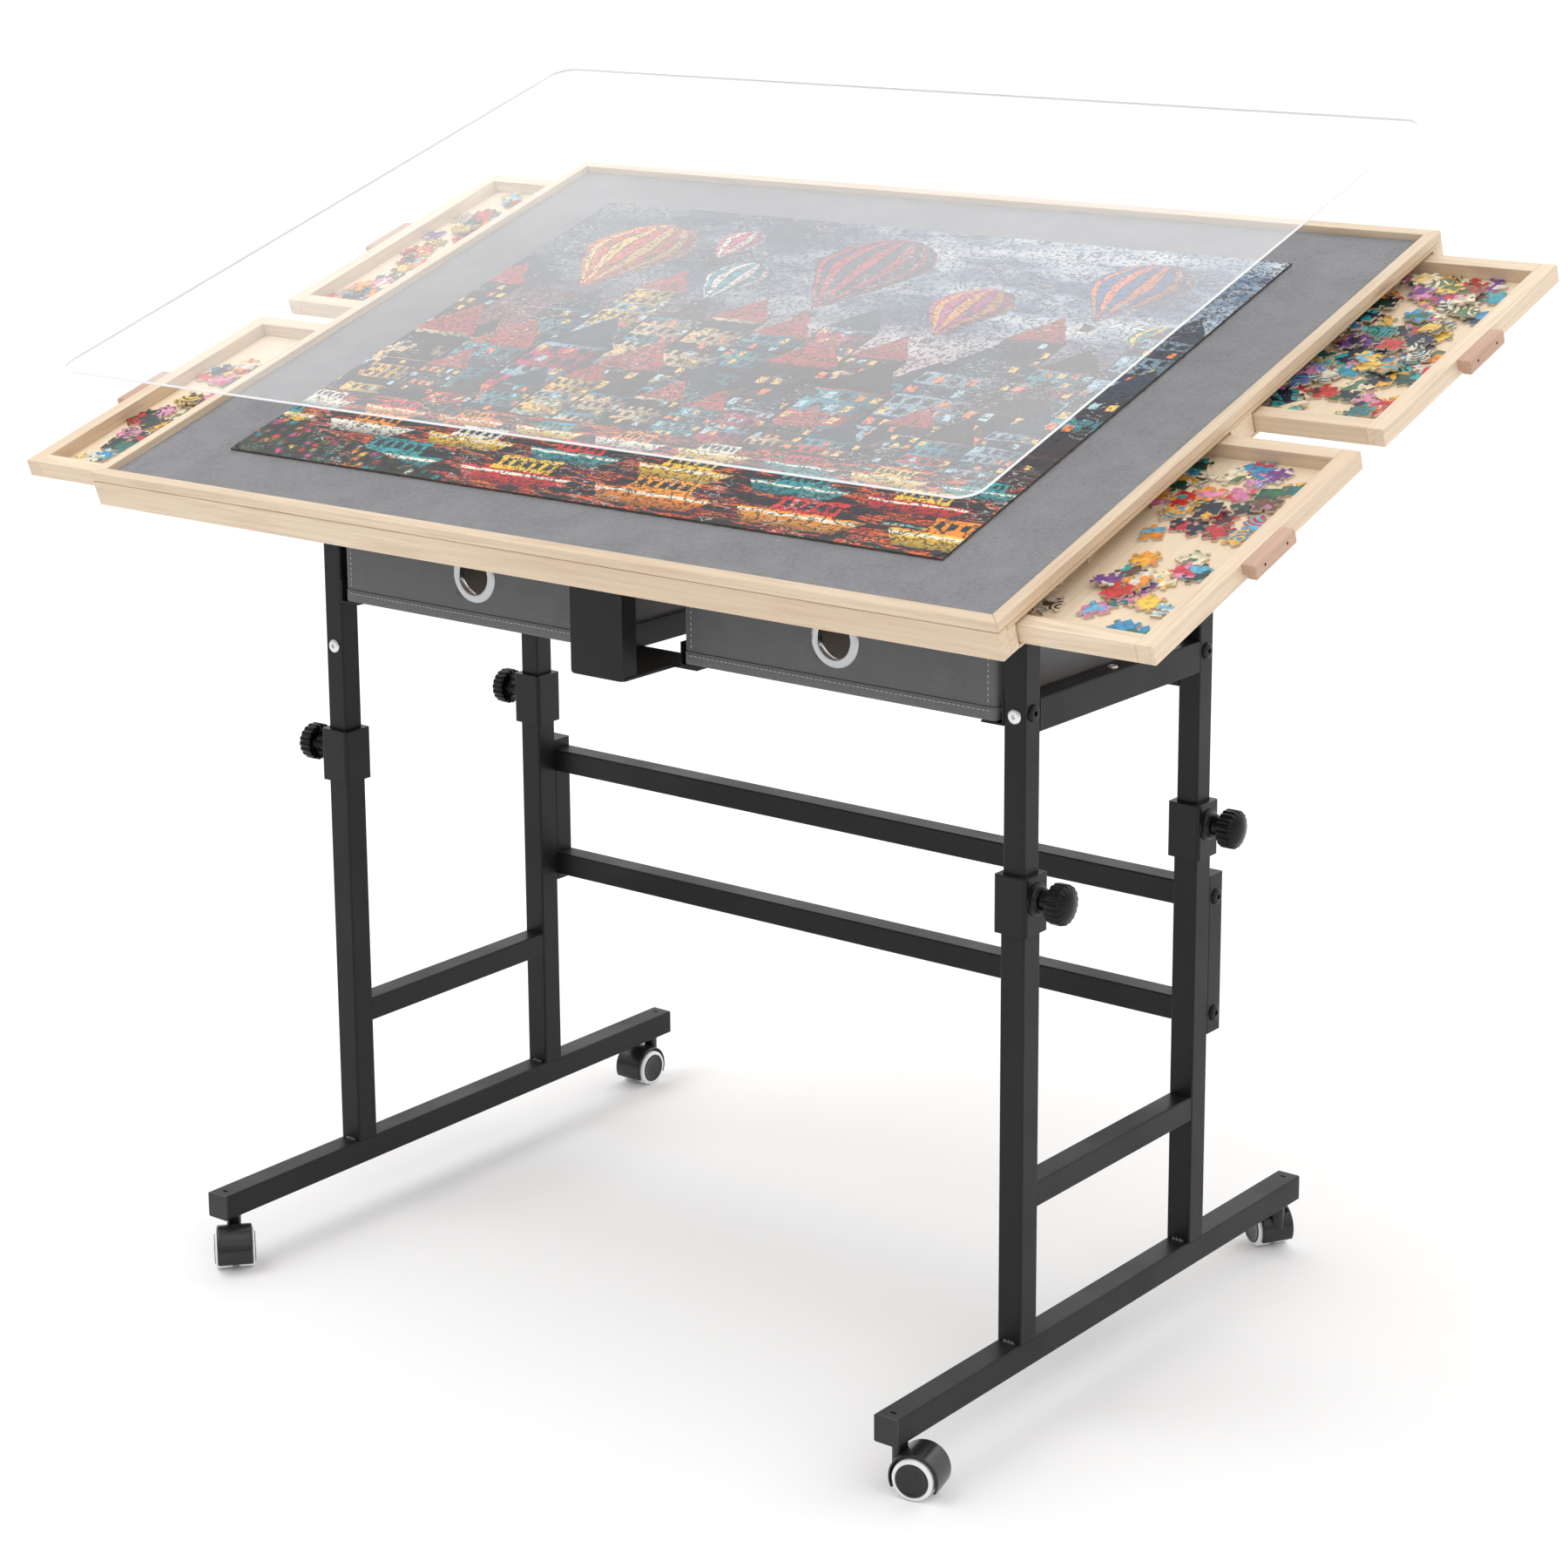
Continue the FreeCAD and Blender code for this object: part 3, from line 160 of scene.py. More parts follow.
def make_piece(
    name: str, shape: Shape, sharp: float = 35.0, tilted: bool = False, kinds: Array | None = None,
    **attributes: Array,
) -> Piece:
    """Puts a shape into a new mesh object at the origin.

    Args:
        name: The piece's name.
        shape: Rows of x, y, z in millimetres, and arrays of vertex numbers, one for each polygon size.
        sharp: Angle in degrees above which an edge stays crisp.
        tilted: Whether the points are given in the board's frame.
        kinds: Number of each face's finish.
        attributes: Vector attributes, one row for each vertex, kept on the faces' corners, where a
            bevel carries them along.

    Returns:
        The object, with its faces pointing outwards.
    """
    points, faces = shape
    points = BOARD.place(points) if tilted else points * MM
    mesh = bpy.data.meshes.new(name)
    mesh.from_pydata(points.tolist(), [], [face for group in faces for face in group.tolist()])
    corners = np.empty(len(mesh.loops), np.int32)
    mesh.loops.foreach_get("vertex_index", corners)
    for key, values in attributes.items():
        layer = mesh.attributes.new(key, "FLOAT_VECTOR", "CORNER")
        layer.data.foreach_set("vector", np.ascontiguousarray(values[corners], np.float32).ravel())
    solid = bmesh.new()
    solid.from_mesh(mesh)
    bmesh.ops.recalc_face_normals(solid, faces=solid.faces)
    solid.to_mesh(mesh)
    solid.free()
    mesh.polygons.foreach_set("use_smooth", np.ones(len(mesh.polygons), bool))
    if kinds is not None:
        mesh.polygons.foreach_set("material_index", kinds.astype(np.int32))
    mesh.set_sharp_from_angle(angle=math.radians(sharp))
    mesh.validate()
    piece = bpy.data.objects.new(name, mesh)
    bpy.context.scene.collection.objects.link(piece)
    return piece


def repeat_faces(faces: list[Array], count: int, size: int) -> list[Array]:
    """Faces of count copies of one shape that has size vertices."""
    steps = np.arange(count)[:, None, None] * size
    return [(group[None] + steps).reshape(-1, group.shape[1]) for group in faces]


def lathe(knots: list[Pair], steps: int, swell: Array | None = None) -> Shape:
    """Turns a profile about the X axis.

    Point (i, j) = (a_i, r_ij cos t_j, r_ij sin t_j), with t_j even round the circle.

    Args:
        knots: Rows of axial place and radius.
        steps: Points round the circle.
        swell: Factor on the radius, of shape rows x steps.

    Returns:
        The shape, closed by a flat cap at each end.
    """
    axial, radius = np.array(knots, float).T[..., None] * np.ones(steps)
    turn = circle(steps)
    if swell is not None:
        radius = radius * swell
    points = np.stack([axial, radius * np.cos(turn), radius * np.sin(turn)], -1)
    return points.reshape(-1, 3), tube_faces(len(knots), steps)


def join_shapes(shapes: list[Shape]) -> Shape:
    """Puts several shapes into one list of points and faces."""
    starts = np.cumsum([0, *(len(points) for points, _ in shapes)])
    faces = [group + start for (_, groups), start in zip(shapes, starts) for group in groups]
    return np.concatenate([points for points, _ in shapes]), faces


def rounded_ring(half_x: float, half_y: float, radius: float, side_points: int, corner_points: int) -> Array:
    """A rounded rectangle about the origin, counter-clockwise.

    Each side has evenly spaced points, and each corner is a quarter circle.

    Args:
        half_x: Half its width.
        half_y: Half its depth.
        radius: The corners' radius.
        side_points: Points along each side.
        corner_points: Points round each corner.

    Returns:
        The points, one row each.
    """
    turn = np.linspace(0, np.pi / 2, corner_points, endpoint=False)
    arc = np.column_stack([np.cos(turn), np.sin(turn)]) * radius
    along = np.linspace(0, 1, side_points, endpoint=False)[:, None]
    signs = np.array([(1, 1), (-1, 1), (-1, -1), (1, -1)])
    corners = signs * (np.array([half_x, half_y]) - radius)
    points = []
    for number, (c, s) in enumerate([(1, 0), (0, 1), (-1, 0), (0, -1)]):
        end = np.array([-s, c]) * radius + corners[number]
        start = np.array([-s, c]) * radius + corners[(number + 1) % 4]
        points += [arc @ np.array([[c, s], [-s, c]]) + corners[number], end + (start - end) * along]
    return np.concatenate(points)


def soften(piece: Piece, width: float) -> Piece:
    """Rounds the crisp edges of a piece by width."""
    bevel = piece.modifiers.new("arris", "BEVEL")
    bevel.width = width * MM
    bevel.segments = 2
    bevel.limit_method = "ANGLE"
    bevel.angle_limit = math.radians(30)
    bevel.harden_normals = True
    return piece


def node_box(node: str) -> tuple[Array, Array]:
    """Lowest and highest corner of a CAD node."""
    low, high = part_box(node)
    return np.array(low) / MM, np.array(high) / MM


# ---------- sawn wood


BLOCK_FACES = np.array([[0, 3, 2, 1], [4, 5, 6, 7], [0, 1, 5, 4], [1, 2, 6, 5], [2, 3, 7, 6], [3, 0, 4, 7]])


@dataclass
class Strip:
    """A sawn piece of wood: four corners of its plan, its lower and upper face, and its grain.

    Args:
        plan: Four (x, depth) corners, counter-clockwise.
        low: Height of the lower face.
        high: Height of the upper face.
        along: 0 for grain along X and 1 for grain along the depth.
        heart: Where the tree's heart lay, as (across, up) from the strip.
    """

    plan: list[Pair]
    low: float
    high: float
    along: int
    heart: Pair

    def corners(self) -> Array:
        """The eight corners: the lower four and then the upper four."""
        flat = np.tile(np.array(self.plan, float), (2, 1))
        return np.column_stack([flat, np.repeat([self.low, self.high], 4)])

    def grain(self, shift: float) -> Array:
        """Wood coordinates of the corners: along the grain, then across and up from the heart."""
        at = self.corners()
        if self.along:
            at = at[:, [1, 0, 2]]
        return MM * (at - at.mean(0) + np.array([1000 * shift, *self.heart]))


def plank(across: Pair, depths: Pair, heights: Pair, along: int, heart: Pair) -> Strip:
    """A straight strip with square ends, whose across is the X of its two sides in any order."""
    (x0, x1), (d0, d1) = sorted(across), depths
    return Strip([(x0, d0), (x1, d0), (x1, d1), (x0, d1)], *heights, along, heart)


def wooden_piece(
    name: str, strips: list[Strip], seed: int, bevel: float, kinds: Array | None = None
) -> Piece:
    """Makes one piece of several sawn strips, laid into the board's frame.

    Args:
        name: The piece's name.
        strips: The strips.
        seed: Sets where along the tree each strip was cut.
        bevel: Rounding of the arrises.
        kinds: Number of each face's finish.

    Returns:
        The piece, with its wood coordinates in the attribute grain_at.
    """
    shift = np.random.default_rng(seed).uniform(0, 4, len(strips))
    points = np.concatenate([strip.corners() for strip in strips])
    grain = np.concatenate([strip.grain(s) for strip, s in zip(strips, shift)])
    shape = points, repeat_faces([BLOCK_FACES], len(strips), 8)
    return soften(make_piece(name, shape, 30, True, kinds, grain_at=grain), bevel)


# ---------- shader tools


def step(operation: str, swapped: bool = False) -> Callable[..., "Value"]:
    """Makes a method of Value that adds one arithmetic node.

    Args:
        operation: The node's operation.
        swapped: Whether the other value comes first.

    Returns:
        The method.
    """

    def method(self: "Value", *others: object) -> "Value":
        """The result of the step."""
        given = (self, *others)[::-1] if swapped else (self, *others)
        return self.graph.value("Math", dict(enumerate(given)), operation=operation)

    return method


class Value:
    """What a socket gives, in a form whose sums read like their formulas."""

    __add__ = __radd__ = step("ADD")
    __mul__ = __rmul__ = step("MULTIPLY")
    __sub__ = step("SUBTRACT")
    __rsub__ = step("SUBTRACT", True)
    __truediv__ = step("DIVIDE")
    __rtruediv__ = step("DIVIDE", True)
    __lt__ = step("LESS_THAN")
    __gt__ = step("GREATER_THAN")
    __abs__ = step("ABSOLUTE")
    at_least = step("MAXIMUM")
    at_most = step("MINIMUM")
    near = step("COMPARE")
    fract = step("FRACT")
    floor = step("FLOOR")
    root = step("SQRT")
    sine = step("SINE")
    arcsine = step("ARCSINE")

    def __init__(self, graph: "Graph", socket: bpy.types.NodeSocket) -> None:
        """Keeps the socket and the graph that it is part of."""
        self.graph = graph
        self.socket = socket

    def parts(self) -> list["Value"]:
        """The three parts of a vector."""
        made = self.graph.node("SeparateXYZ", {0: self})
        return [Value(self.graph, socket) for socket in made.outputs]

    def vector(self, operation: str, other: object) -> "Value":
        """The vector after one vector step."""
        return self.graph.value("VectorMath", {0: self, 1: other}, operation=operation)

    def scaled(self, x: float, y: float, z: float) -> "Value":
        """The vector with each part multiplied by its own factor."""
        return self.vector("MULTIPLY", (x, y, z))

    def times(self, factor: "Value") -> "Value":
        """The vector multiplied by one factor."""
        return self.graph.value("VectorMath", {0: self, 3: factor}, operation="SCALE")

    def noise(self, scale: float = 1.0, detail: float = 2.0, rough: float = 0.5, output: int = 0) -> "Value":
        """Fractal noise about 0.5; output 1 is a vector of it."""
        inputs = {"Vector": self, "Scale": scale, "Detail": detail, "Roughness": rough}
        return self.graph.value("TexNoise", inputs, output)

    def cells(self, scale: float, output: str = "Distance") -> "Value":
        """Distance from the nearest of scattered points, or that point's colour."""
        return self.graph.value("TexVoronoi", {"Vector": self, "Scale": scale}, output)

    def dice(self, size: str = "1D") -> "Value":
        """A random number for each value, or for each vector where size is 3D."""
        key = "W" if size == "1D" else "Vector"
        return self.graph.value("TexWhiteNoise", {key: self}, noise_dimensions=size)

    def span(self, low: float, high: float, to_low: float = 0.0, to_high: float = 1.0) -> "Value":
        """Maps low..high to to_low..to_high and clamps."""
        inputs = {0: self, 1: low, 2: high, 3: to_low, 4: to_high}
        return self.graph.value("MapRange", inputs, clamp=True)

    def mix(self, a: object, b: object) -> "Value":
        """A colour that goes from a to b as this value goes from 0 to 1."""
        return self.graph.value("Mix", {0: self, 6: a, 7: b}, 2, data_type="RGBA")

    def ramp(self, stops: list[tuple[float, ...]], steps: bool = False) -> "Value":
        """A colour picked from stops by this value.

        Args:
            stops: Rows of a place from 0 to 1 and the red, green and blue there.
            steps: Whether the colours change in flat steps.

        Returns:
            The colour.
        """
        made = self.graph.node("ValToRGB", {0: self})
        made.color_ramp.interpolation = "CONSTANT" if steps else "LINEAR"
        elements = made.color_ramp.elements
        while len(elements) < len(stops):
            elements.new(0.5)
        for element, (place, *colour) in zip(elements, stops):
            element.position = place
            element.color = rgb(*colour)
        return Value(self.graph, made.outputs[0])

    def bump(self, depth: float) -> "Value":
        """The normal of a surface that this value raises by up to depth metres."""
        return self.graph.value("Bump", {"Strength": 1.0, "Distance": depth, "Height": self})


class Graph:
    """Short ways to add nodes and links to a node tree."""

    def __init__(self, tree: bpy.types.NodeTree) -> None:
        """Keeps the tree to work on."""
        self.tree = tree

    def feed(self, target: bpy.types.NodeSocket, value: object) -> None:
        """Links a value to target, or sets target's own number or colour."""
        if isinstance(value, Value):
            self.tree.links.new(value.socket, target)
        else:
            target.default_value = value

    def node(self, kind: str, inputs: Inputs | None = None, **settings: object) -> bpy.types.Node:
        """Adds a node.

        Args:
            kind: The node's type, without its ShaderNode prefix.
            inputs: What its inputs get, by name or number.
            settings: Properties of the node.

        Returns:
            The node.
        """
        made = self.tree.nodes.new("ShaderNode" + kind)
        for key, value in settings.items():
            setattr(made, key, value)
        for key, value in (inputs or {}).items():
            self.feed(made.inputs[key], value)
        return made

    def value(
        self, kind: str, inputs: Inputs | None = None, output: str | int = 0, **settings: object
    ) -> Value:
        """Adds a node as node() does, and gives one of its outputs."""
        return Value(self, self.node(kind, inputs, **settings).outputs[output])

    def place(self) -> Value:
        """Object coordinates, which are the row frame's metres."""
        return self.value("TexCoord", output="Object")

    def board_place(self) -> Value:
        """Object coordinates turned level with the board."""
        return self.value("Mapping", {"Vector": self.place(), "Rotation": (-BOARD.tilt, 0.0, 0.0)})

    def stored(self, name: str) -> Value:
        """A vector attribute of the piece."""
        return self.value("Attribute", output="Vector", attribute_name=name, attribute_type="GEOMETRY")

    def upward(self) -> Value:
        """How far a face looks up, from -1 to 1."""
        return self.value("NewGeometry", output="Normal").parts()[2]

    def effect(self, effect: "Effect", **inputs: object) -> Outputs:
        """Places a shared effect, and builds it on its first use.

        Args:
            effect: Which effect.
            inputs: What its inputs get.

        Returns:
            Its outputs by name.
        """
        made = self.tree.nodes.new("ShaderNodeGroup")
        made.node_tree = bpy.data.node_groups.get(effect.value) or build_effect(effect)
        for key, value in inputs.items():
            self.feed(made.inputs[key], value)
        return {socket.name: Value(self, socket) for socket in made.outputs}


def rgb(red: float, green: float, blue: float) -> Colour:
    """A linear colour with full alpha."""
    return (red, green, blue, 1.0)


# ---------- shared effects


class Effect(Enum):
    """The node groups that finishes place with their own values."""

    GRAIN = "wood_grain"
    FIBRES = "pressed_fibres"
    DUST = "settled_dust"
    SKIN = "fine_skin"
    BALLOON = "picture_balloon"
    HOUSES = "picture_houses"
    BOATS = "picture_boats"
    PEN = "pen_strokes"


Builder = Callable[..., Outputs]
BUILDERS: dict[Effect, tuple[Builder, Inputs]] = {}
ORIGIN = (0.0, 0.0, 0.0)
BLACK = rgb(0.0, 0.0, 0.0)


def shared(effect: Effect, **inputs: object) -> Callable[[Builder], Builder]:
    """Marks a function as the builder of an effect.

    Args:
        effect: The effect.
        inputs: Default value of each input; a tuple of 3 is a vector and of 4 a colour.

    Returns:
        The decorator, which leaves the function as it is.
    """

    def keep(builder: Builder) -> Builder:
        """Notes the builder and its inputs."""
        BUILDERS[effect] = (builder, inputs)
        return builder

    return keep


def build_effect(effect: Effect) -> bpy.types.NodeTree:
    """Builds an effect's node group with named inputs and outputs.

    Args:
        effect: The effect.

    Returns:
        The group, in which an output named colour is a colour and any other a number.
    """
    builder, inputs = BUILDERS[effect]
    tree = bpy.data.node_groups.new(effect.value, "ShaderNodeTree")
    for key, value in inputs.items():
        kind = {3: "Vector", 4: "Color"}[len(value)] if isinstance(value, tuple) else "Float"
        made = tree.interface.new_socket(key, in_out="INPUT", socket_type="NodeSocket" + kind)
        made.default_value = value
    graph, source = Graph(tree), tree.nodes.new("NodeGroupInput")
    results = builder(**{key: Value(graph, source.outputs[key]) for key in inputs})
    for key in results:
        kind = "Color" if key == "colour" else "Float"
        tree.interface.new_socket(key, in_out="OUTPUT", socket_type="NodeSocket" + kind)
    out = tree.nodes.new("NodeGroupOutput")
    for key, value in results.items():
        graph.feed(out.inputs[key], value)
    return tree


@shared(Effect.GRAIN, place=ORIGIN, ring=0.004, wander=0.02)
def build_grain(place: Value, ring: Value, wander: Value) -> Outputs:
    """Solid wood: year rings about the heart, fibres along X, and a few knots.

    Args:
        place: Wood coordinates in metres.
        ring: Width of a year ring.
        wander: How far the rings wander.

    Returns:
        Masks of the late wood, the fibres and the knots.
    """
    _, across, up = place.parts()
    slow = place.scaled(1.6, 9.0, 9.0).noise(1.0, 3.0)
    phase = ((slow * wander + (across * across + up * up).root()) / ring).fract()
    return {
        "rings": phase.span(0.25, 0.9) * phase.span(0.9, 1.0, 1.0, 0.0),
        "fibre": place.scaled(7.0, 520.0, 520.0).noise(1.0, 3.0, 0.6),
        "knots": place.scaled(4.5, 22.0, 22.0).cells(1.0).span(0.03, 0.11, 1.0, 0.0),
    }


@shared(Effect.FIBRES, place=ORIGIN, pitch=0.001)
def build_fibres(place: Value, pitch: Value) -> Outputs:
    """Pressed fibres of felt and non-woven cloth: short hairs in two directions over soft blotches.

    Args:
        place: Coordinates in metres.
        pitch: Length of a hair.

    Returns:
        Masks of the hairs and the blotches.
    """
    fine = place.times(1.0 / pitch)
    one = fine.scaled(0.25, 1.6, 1.0).noise(1.0, 2.0, 0.6)
    two = fine.scaled(1.6, 0.25, 1.0).noise(1.0, 2.0, 0.6)
    return {"hair": one.at_least(two), "blotch": fine.scaled(0.04, 0.04, 0.04).noise(1.0, 3.0)}


@shared(Effect.DUST, place=ORIGIN, amount=0.2)
def build_dust(place: Value, amount: Value) -> Outputs:
    """A mask of fine dust in soft patches on faces that look up, which covers up to amount."""
    patch = place.noise(9.0, 4.0).span(0.35, 0.75)
    return {"mask": place.graph.upward().span(0.3, 1.0) * patch * amount}


@shared(Effect.SKIN, place=ORIGIN, pitch=0.001)
def build_skin(place: Value, pitch: Value) -> Outputs:
    """The dimpled skin of powder coat or moulded plastic: its height, and a slow tone."""
    return {"height": place.times(1.0 / pitch).noise(), "tone": place.noise(14.0, 3.0)}


@shared(
    Effect.BALLOON, place=ORIGIN, centre=(0.1, 0.1, 0.0), radius=0.05, gores=9.0, light=rgb(1.0, 1.0, 1.0),
    dark=BLACK, behind=BLACK,
)
def build_balloon(
    place: Value, centre: Value, radius: Value, gores: Value, light: Value, dark: Value, behind: Value
) -> Outputs:
    """A striped hot-air balloon over a background, for the printed picture.

    Args:
        place: Metres across and up the picture.
        centre: The balloon's middle.
        radius: The balloon's radius.
        gores: How closely its stripes follow each other.
        light: Colour of one half of the stripes.
        dark: Colour of the other half.
        behind: The background.

    Returns:
        The picture with the balloon.
    """
    x, y, _ = place.vector("SUBTRACT", centre).parts()
    x, y = x / radius, y / radius
    across = x / y.span(-1.3, 0.1, 0.25, 1.0)
    height = y / y.span(-0.01, 0.01, 1.3, 1.0)
    turn = across / (1.0 - height * height).at_least(0.0001).root()
    gore = (turn.at_most(1.0).at_least(-1.0).arcsine() * gores).sine()
    cloth = (gore > 0.0).mix(light, dark)
    cloth = gore.near(0.0, 0.16).mix(cloth, rgb(0.01, 0.008, 0.012))
    cloth = turn.span(-0.4, 1.0, 0.0, 0.7).mix(cloth, rgb(0.01, 0.01, 0.03))
    inside = (abs(turn) < 1.0) * (abs(height) < 1.0)
    basket = x.near(0.0, 0.13) * y.near(-1.55, 0.12)
    return {"colour": basket.mix(inside.mix(behind, cloth), rgb(0.13, 0.05, 0.015))}


@shared(Effect.HOUSES, place=ORIGIN, width=0.02, base=0.1, tall=0.03, seed=0.0, behind=BLACK)
def build_houses(
    place: Value, width: Value, base: Value, tall: Value, seed: Value, behind: Value
) -> Outputs:
    """A row of gabled houses over a background, for the printed picture.

    Args:
        place: Metres across and up the picture.
        width: A house's width.
        base: Height of their feet.
        tall: Middle height of their walls.
        seed: Sets their paints and heights.
        behind: The background.

    Returns:
        The picture with the houses.
    """
    x, y, _ = place.parts()
    along = x / width + seed
    inside, dice = along.fract(), along.floor().dice()
    eaves = base + tall * dice.span(0.0, 1.0, 0.5, 1.7)
    off = 0.5 - abs(inside - 0.5)
    level = (eaves - y) / (width * 0.25)
    banded = (level * 0.34 + dice * 9.0).fract() < 0.34
    wall = banded.mix(dice.ramp(WALL_PAINTS, True), (dice * 4.3).fract().ramp(WALL_PAINTS, True))
    wall = inside.span(0.1, 1.0, 0.0, 0.8).mix(wall, rgb(0.01, 0.008, 0.02))
    window = (inside * 5.0).fract().near(0.5, 0.27) * level.fract().near(0.55, 0.28)
    pane = place.graph.value("CombineXYZ", {0: (along * 5.0).floor(), 1: level.floor(), 2: seed})
    wall = window.mix(wall, pane.dice("3D").ramp(WINDOW_LIGHTS, True))
    built = (y < eaves).mix((dice * 7.0).fract().ramp(ROOF_TILES, True), wall)
    built = (off < 0.03).mix(built, rgb(0.006, 0.006, 0.01))
    return {"colour": (y < off * width * 1.5 + eaves).mix(behind, built)}


@shared(Effect.BOATS, place=ORIGIN, width=0.1, base=0.05, seed=0.0, behind=BLACK)
def build_boats(place: Value, width: Value, base: Value, seed: Value, behind: Value) -> Outputs:
    """A row of river boats over a background, for the printed picture.

    Args:
        place: Metres across and up the picture.
        width: Distance between two boats.
        base: Height of their keels.
        seed: Sets their paints.
        behind: The background.

    Returns:
        The picture with the boats.
    """
    x, y, _ = place.parts()
    along = x / width + seed
    inside, dice = along.fract(), along.floor().dice()
    middle, up = abs(inside - 0.5), (y - base) / width
    deck = (middle < 0.22) * up.near(0.23, 0.08)
    glass = (inside * 13.0).fract().near(0.5, 0.3) * up.near(0.24, 0.035)
    cabin = glass.mix((dice * 6.7).fract().ramp(BOAT_PAINTS, True), rgb(0.01, 0.03, 0.04))
    hull = (middle < up.span(0.0, 0.16, 0.3, 0.43)) * up.near(0.08, 0.08)
    side = up.span(0.0, 0.12, 0.7, 0.0).mix(dice.ramp(BOAT_PAINTS, True), rgb(0.01, 0.01, 0.02))
    side = up.near(0.125, 0.014).mix(side, rgb(0.9, 0.85, 0.7))
    return {"colour": hull.mix(deck.mix(behind, cabin), side)}


@shared(Effect.PEN, place=ORIGIN, colour=BLACK)
def build_pen(place: Value, colour: Value) -> Outputs:
    """Pen strokes: dark contour lines and fewer pale ones that follow a slow noise.

    Args:
        place: Metres across and up the picture.
        colour: The picture below.

    Returns:
        The picture with the strokes.
    """
    dark = (place.noise(19.0, 5.0, 0.65) * 14.0).fract() < 0.3
    inked = (dark * 0.85).mix(colour, rgb(0.006, 0.007, 0.012))
    veil = place.scaled(30.0, 70.0, 1.0).noise(1.0, 3.0, 0.6)
    pale = ((veil * 7.0).fract() < 0.07) * (place.noise(15.0, 1.0) > 0.53) * 0.75
    return {"colour": pale.mix(inked, rgb(0.78, 0.74, 0.68))}


# Each row of a palette is a place from 0 to 1 and the red, green and blue there.
WALL_PAINTS = [
    (0.0, 0.75, 0.05, 0.03), (0.12, 0.03, 0.05, 0.13), (0.24, 0.92, 0.3, 0.04), (0.35, 0.1, 0.05, 0.04),
    (0.46, 0.04, 0.34, 0.42), (0.56, 0.85, 0.62, 0.36), (0.66, 0.6, 0.03, 0.1), (0.76, 0.02, 0.02, 0.03),
    (0.86, 0.95, 0.62, 0.1), (0.93, 0.32, 0.5, 0.62),
]
WINDOW_LIGHTS = [
    (0.0, 0.01, 0.012, 0.02), (0.5, 0.95, 0.62, 0.16), (0.64, 0.02, 0.02, 0.04), (0.8, 0.45, 0.72, 0.8),
    (0.9, 0.95, 0.25, 0.05),
]
ROOF_TILES = [(0.0, 0.03, 0.015, 0.02), (0.35, 0.42, 0.05, 0.03), (0.7, 0.02, 0.04, 0.07)]
BOAT_PAINTS = [
    (0.0, 0.95, 0.3, 0.02), (0.25, 0.75, 0.03, 0.03), (0.42, 0.95, 0.6, 0.06), (0.58, 0.03, 0.35, 0.38),
    (0.72, 0.95, 0.38, 0.04), (0.86, 0.85, 0.82, 0.72),
]
FLOWERS = [
    (0.0, 0.75, 0.03, 0.02), (0.2, 0.9, 0.25, 0.02), (0.36, 0.01, 0.06, 0.02), (0.52, 0.95, 0.6, 0.08),
    (0.62, 0.02, 0.3, 0.32), (0.74, 0.7, 0.08, 0.3), (0.86, 0.85, 0.8, 0.72), (0.93, 0.02, 0.02, 0.03),
]
WATER_LIGHTS = [
    (0.32, 0.006, 0.008, 0.012), (0.49, 0.012, 0.015, 0.02), (0.525, 0.6, 0.03, 0.02),
    (0.55, 0.9, 0.22, 0.03), (0.575, 0.01, 0.012, 0.02), (0.66, 0.02, 0.03, 0.05), (0.68, 0.1, 0.5, 0.5),
    (0.72, 0.9, 0.75, 0.5),
]
SKY = [(0.34, 0.02, 0.045, 0.1), (0.46, 0.1, 0.17, 0.28), (0.54, 0.36, 0.45, 0.55), (0.64, 0.72, 0.76, 0.78)]
LEAVES = [(0.42, 0.006, 0.015, 0.015), (0.55, 0.02, 0.1, 0.07), (0.68, 0.3, 0.16, 0.03)]
LOOSE_GROUNDS = [
    (0.0, 0.01, 0.015, 0.04), (0.12, 0.012, 0.07, 0.045), (0.25, 0.02, 0.16, 0.16), (0.34, 0.6, 0.025, 0.015),
    (0.44, 0.88, 0.28, 0.02), (0.53, 0.9, 0.58, 0.08), (0.62, 0.86, 0.74, 0.5), (0.72, 0.04, 0.3, 0.55),
    (0.8, 0.75, 0.22, 0.4), (0.87, 0.14, 0.06, 0.03), (0.93, 0.2, 0.06, 0.28),
]
LOOSE_MARKS = [
    (0.0, 0.02, 0.4, 0.42), (0.16, 0.9, 0.45, 0.03), (0.3, 0.01, 0.015, 0.03), (0.46, 0.8, 0.75, 0.62),
    (0.58, 0.65, 0.02, 0.03), (0.7, 0.03, 0.16, 0.06), (0.82, 0.1, 0.5, 0.75), (0.92, 0.85, 0.3, 0.5),
]


# ---------- finishes


@dataclass(frozen=True)
class Finish:
    """A named finish with its main colour and roughness."""

    name: str
    colour: Colour
    roughness: float = 0.5

    def material(self) -> bpy.types.Material:
        """The finish as a material, built on its first use.

        Returns:
            The material, whose prefix keeps it apart from the CAD's own.
        """
        name = "finish_" + self.name
        made = bpy.data.materials.get(name)
        if not made:
            made = bpy.data.materials.new(name)
            made.use_nodes = True
            graph = Graph(made.node_tree)
            surface = made.node_tree.nodes["Principled BSDF"]
            inputs = {"Base Color": self.colour, "Roughness": self.roughness, **self.paint(graph)}
            for key, value in inputs.items():
                graph.feed(surface.inputs[key], value)
        return made

    def paint(self, graph: Graph) -> Inputs:
        """Makes the finish's own nodes, and says what the surface's inputs get, by name."""
        return {}


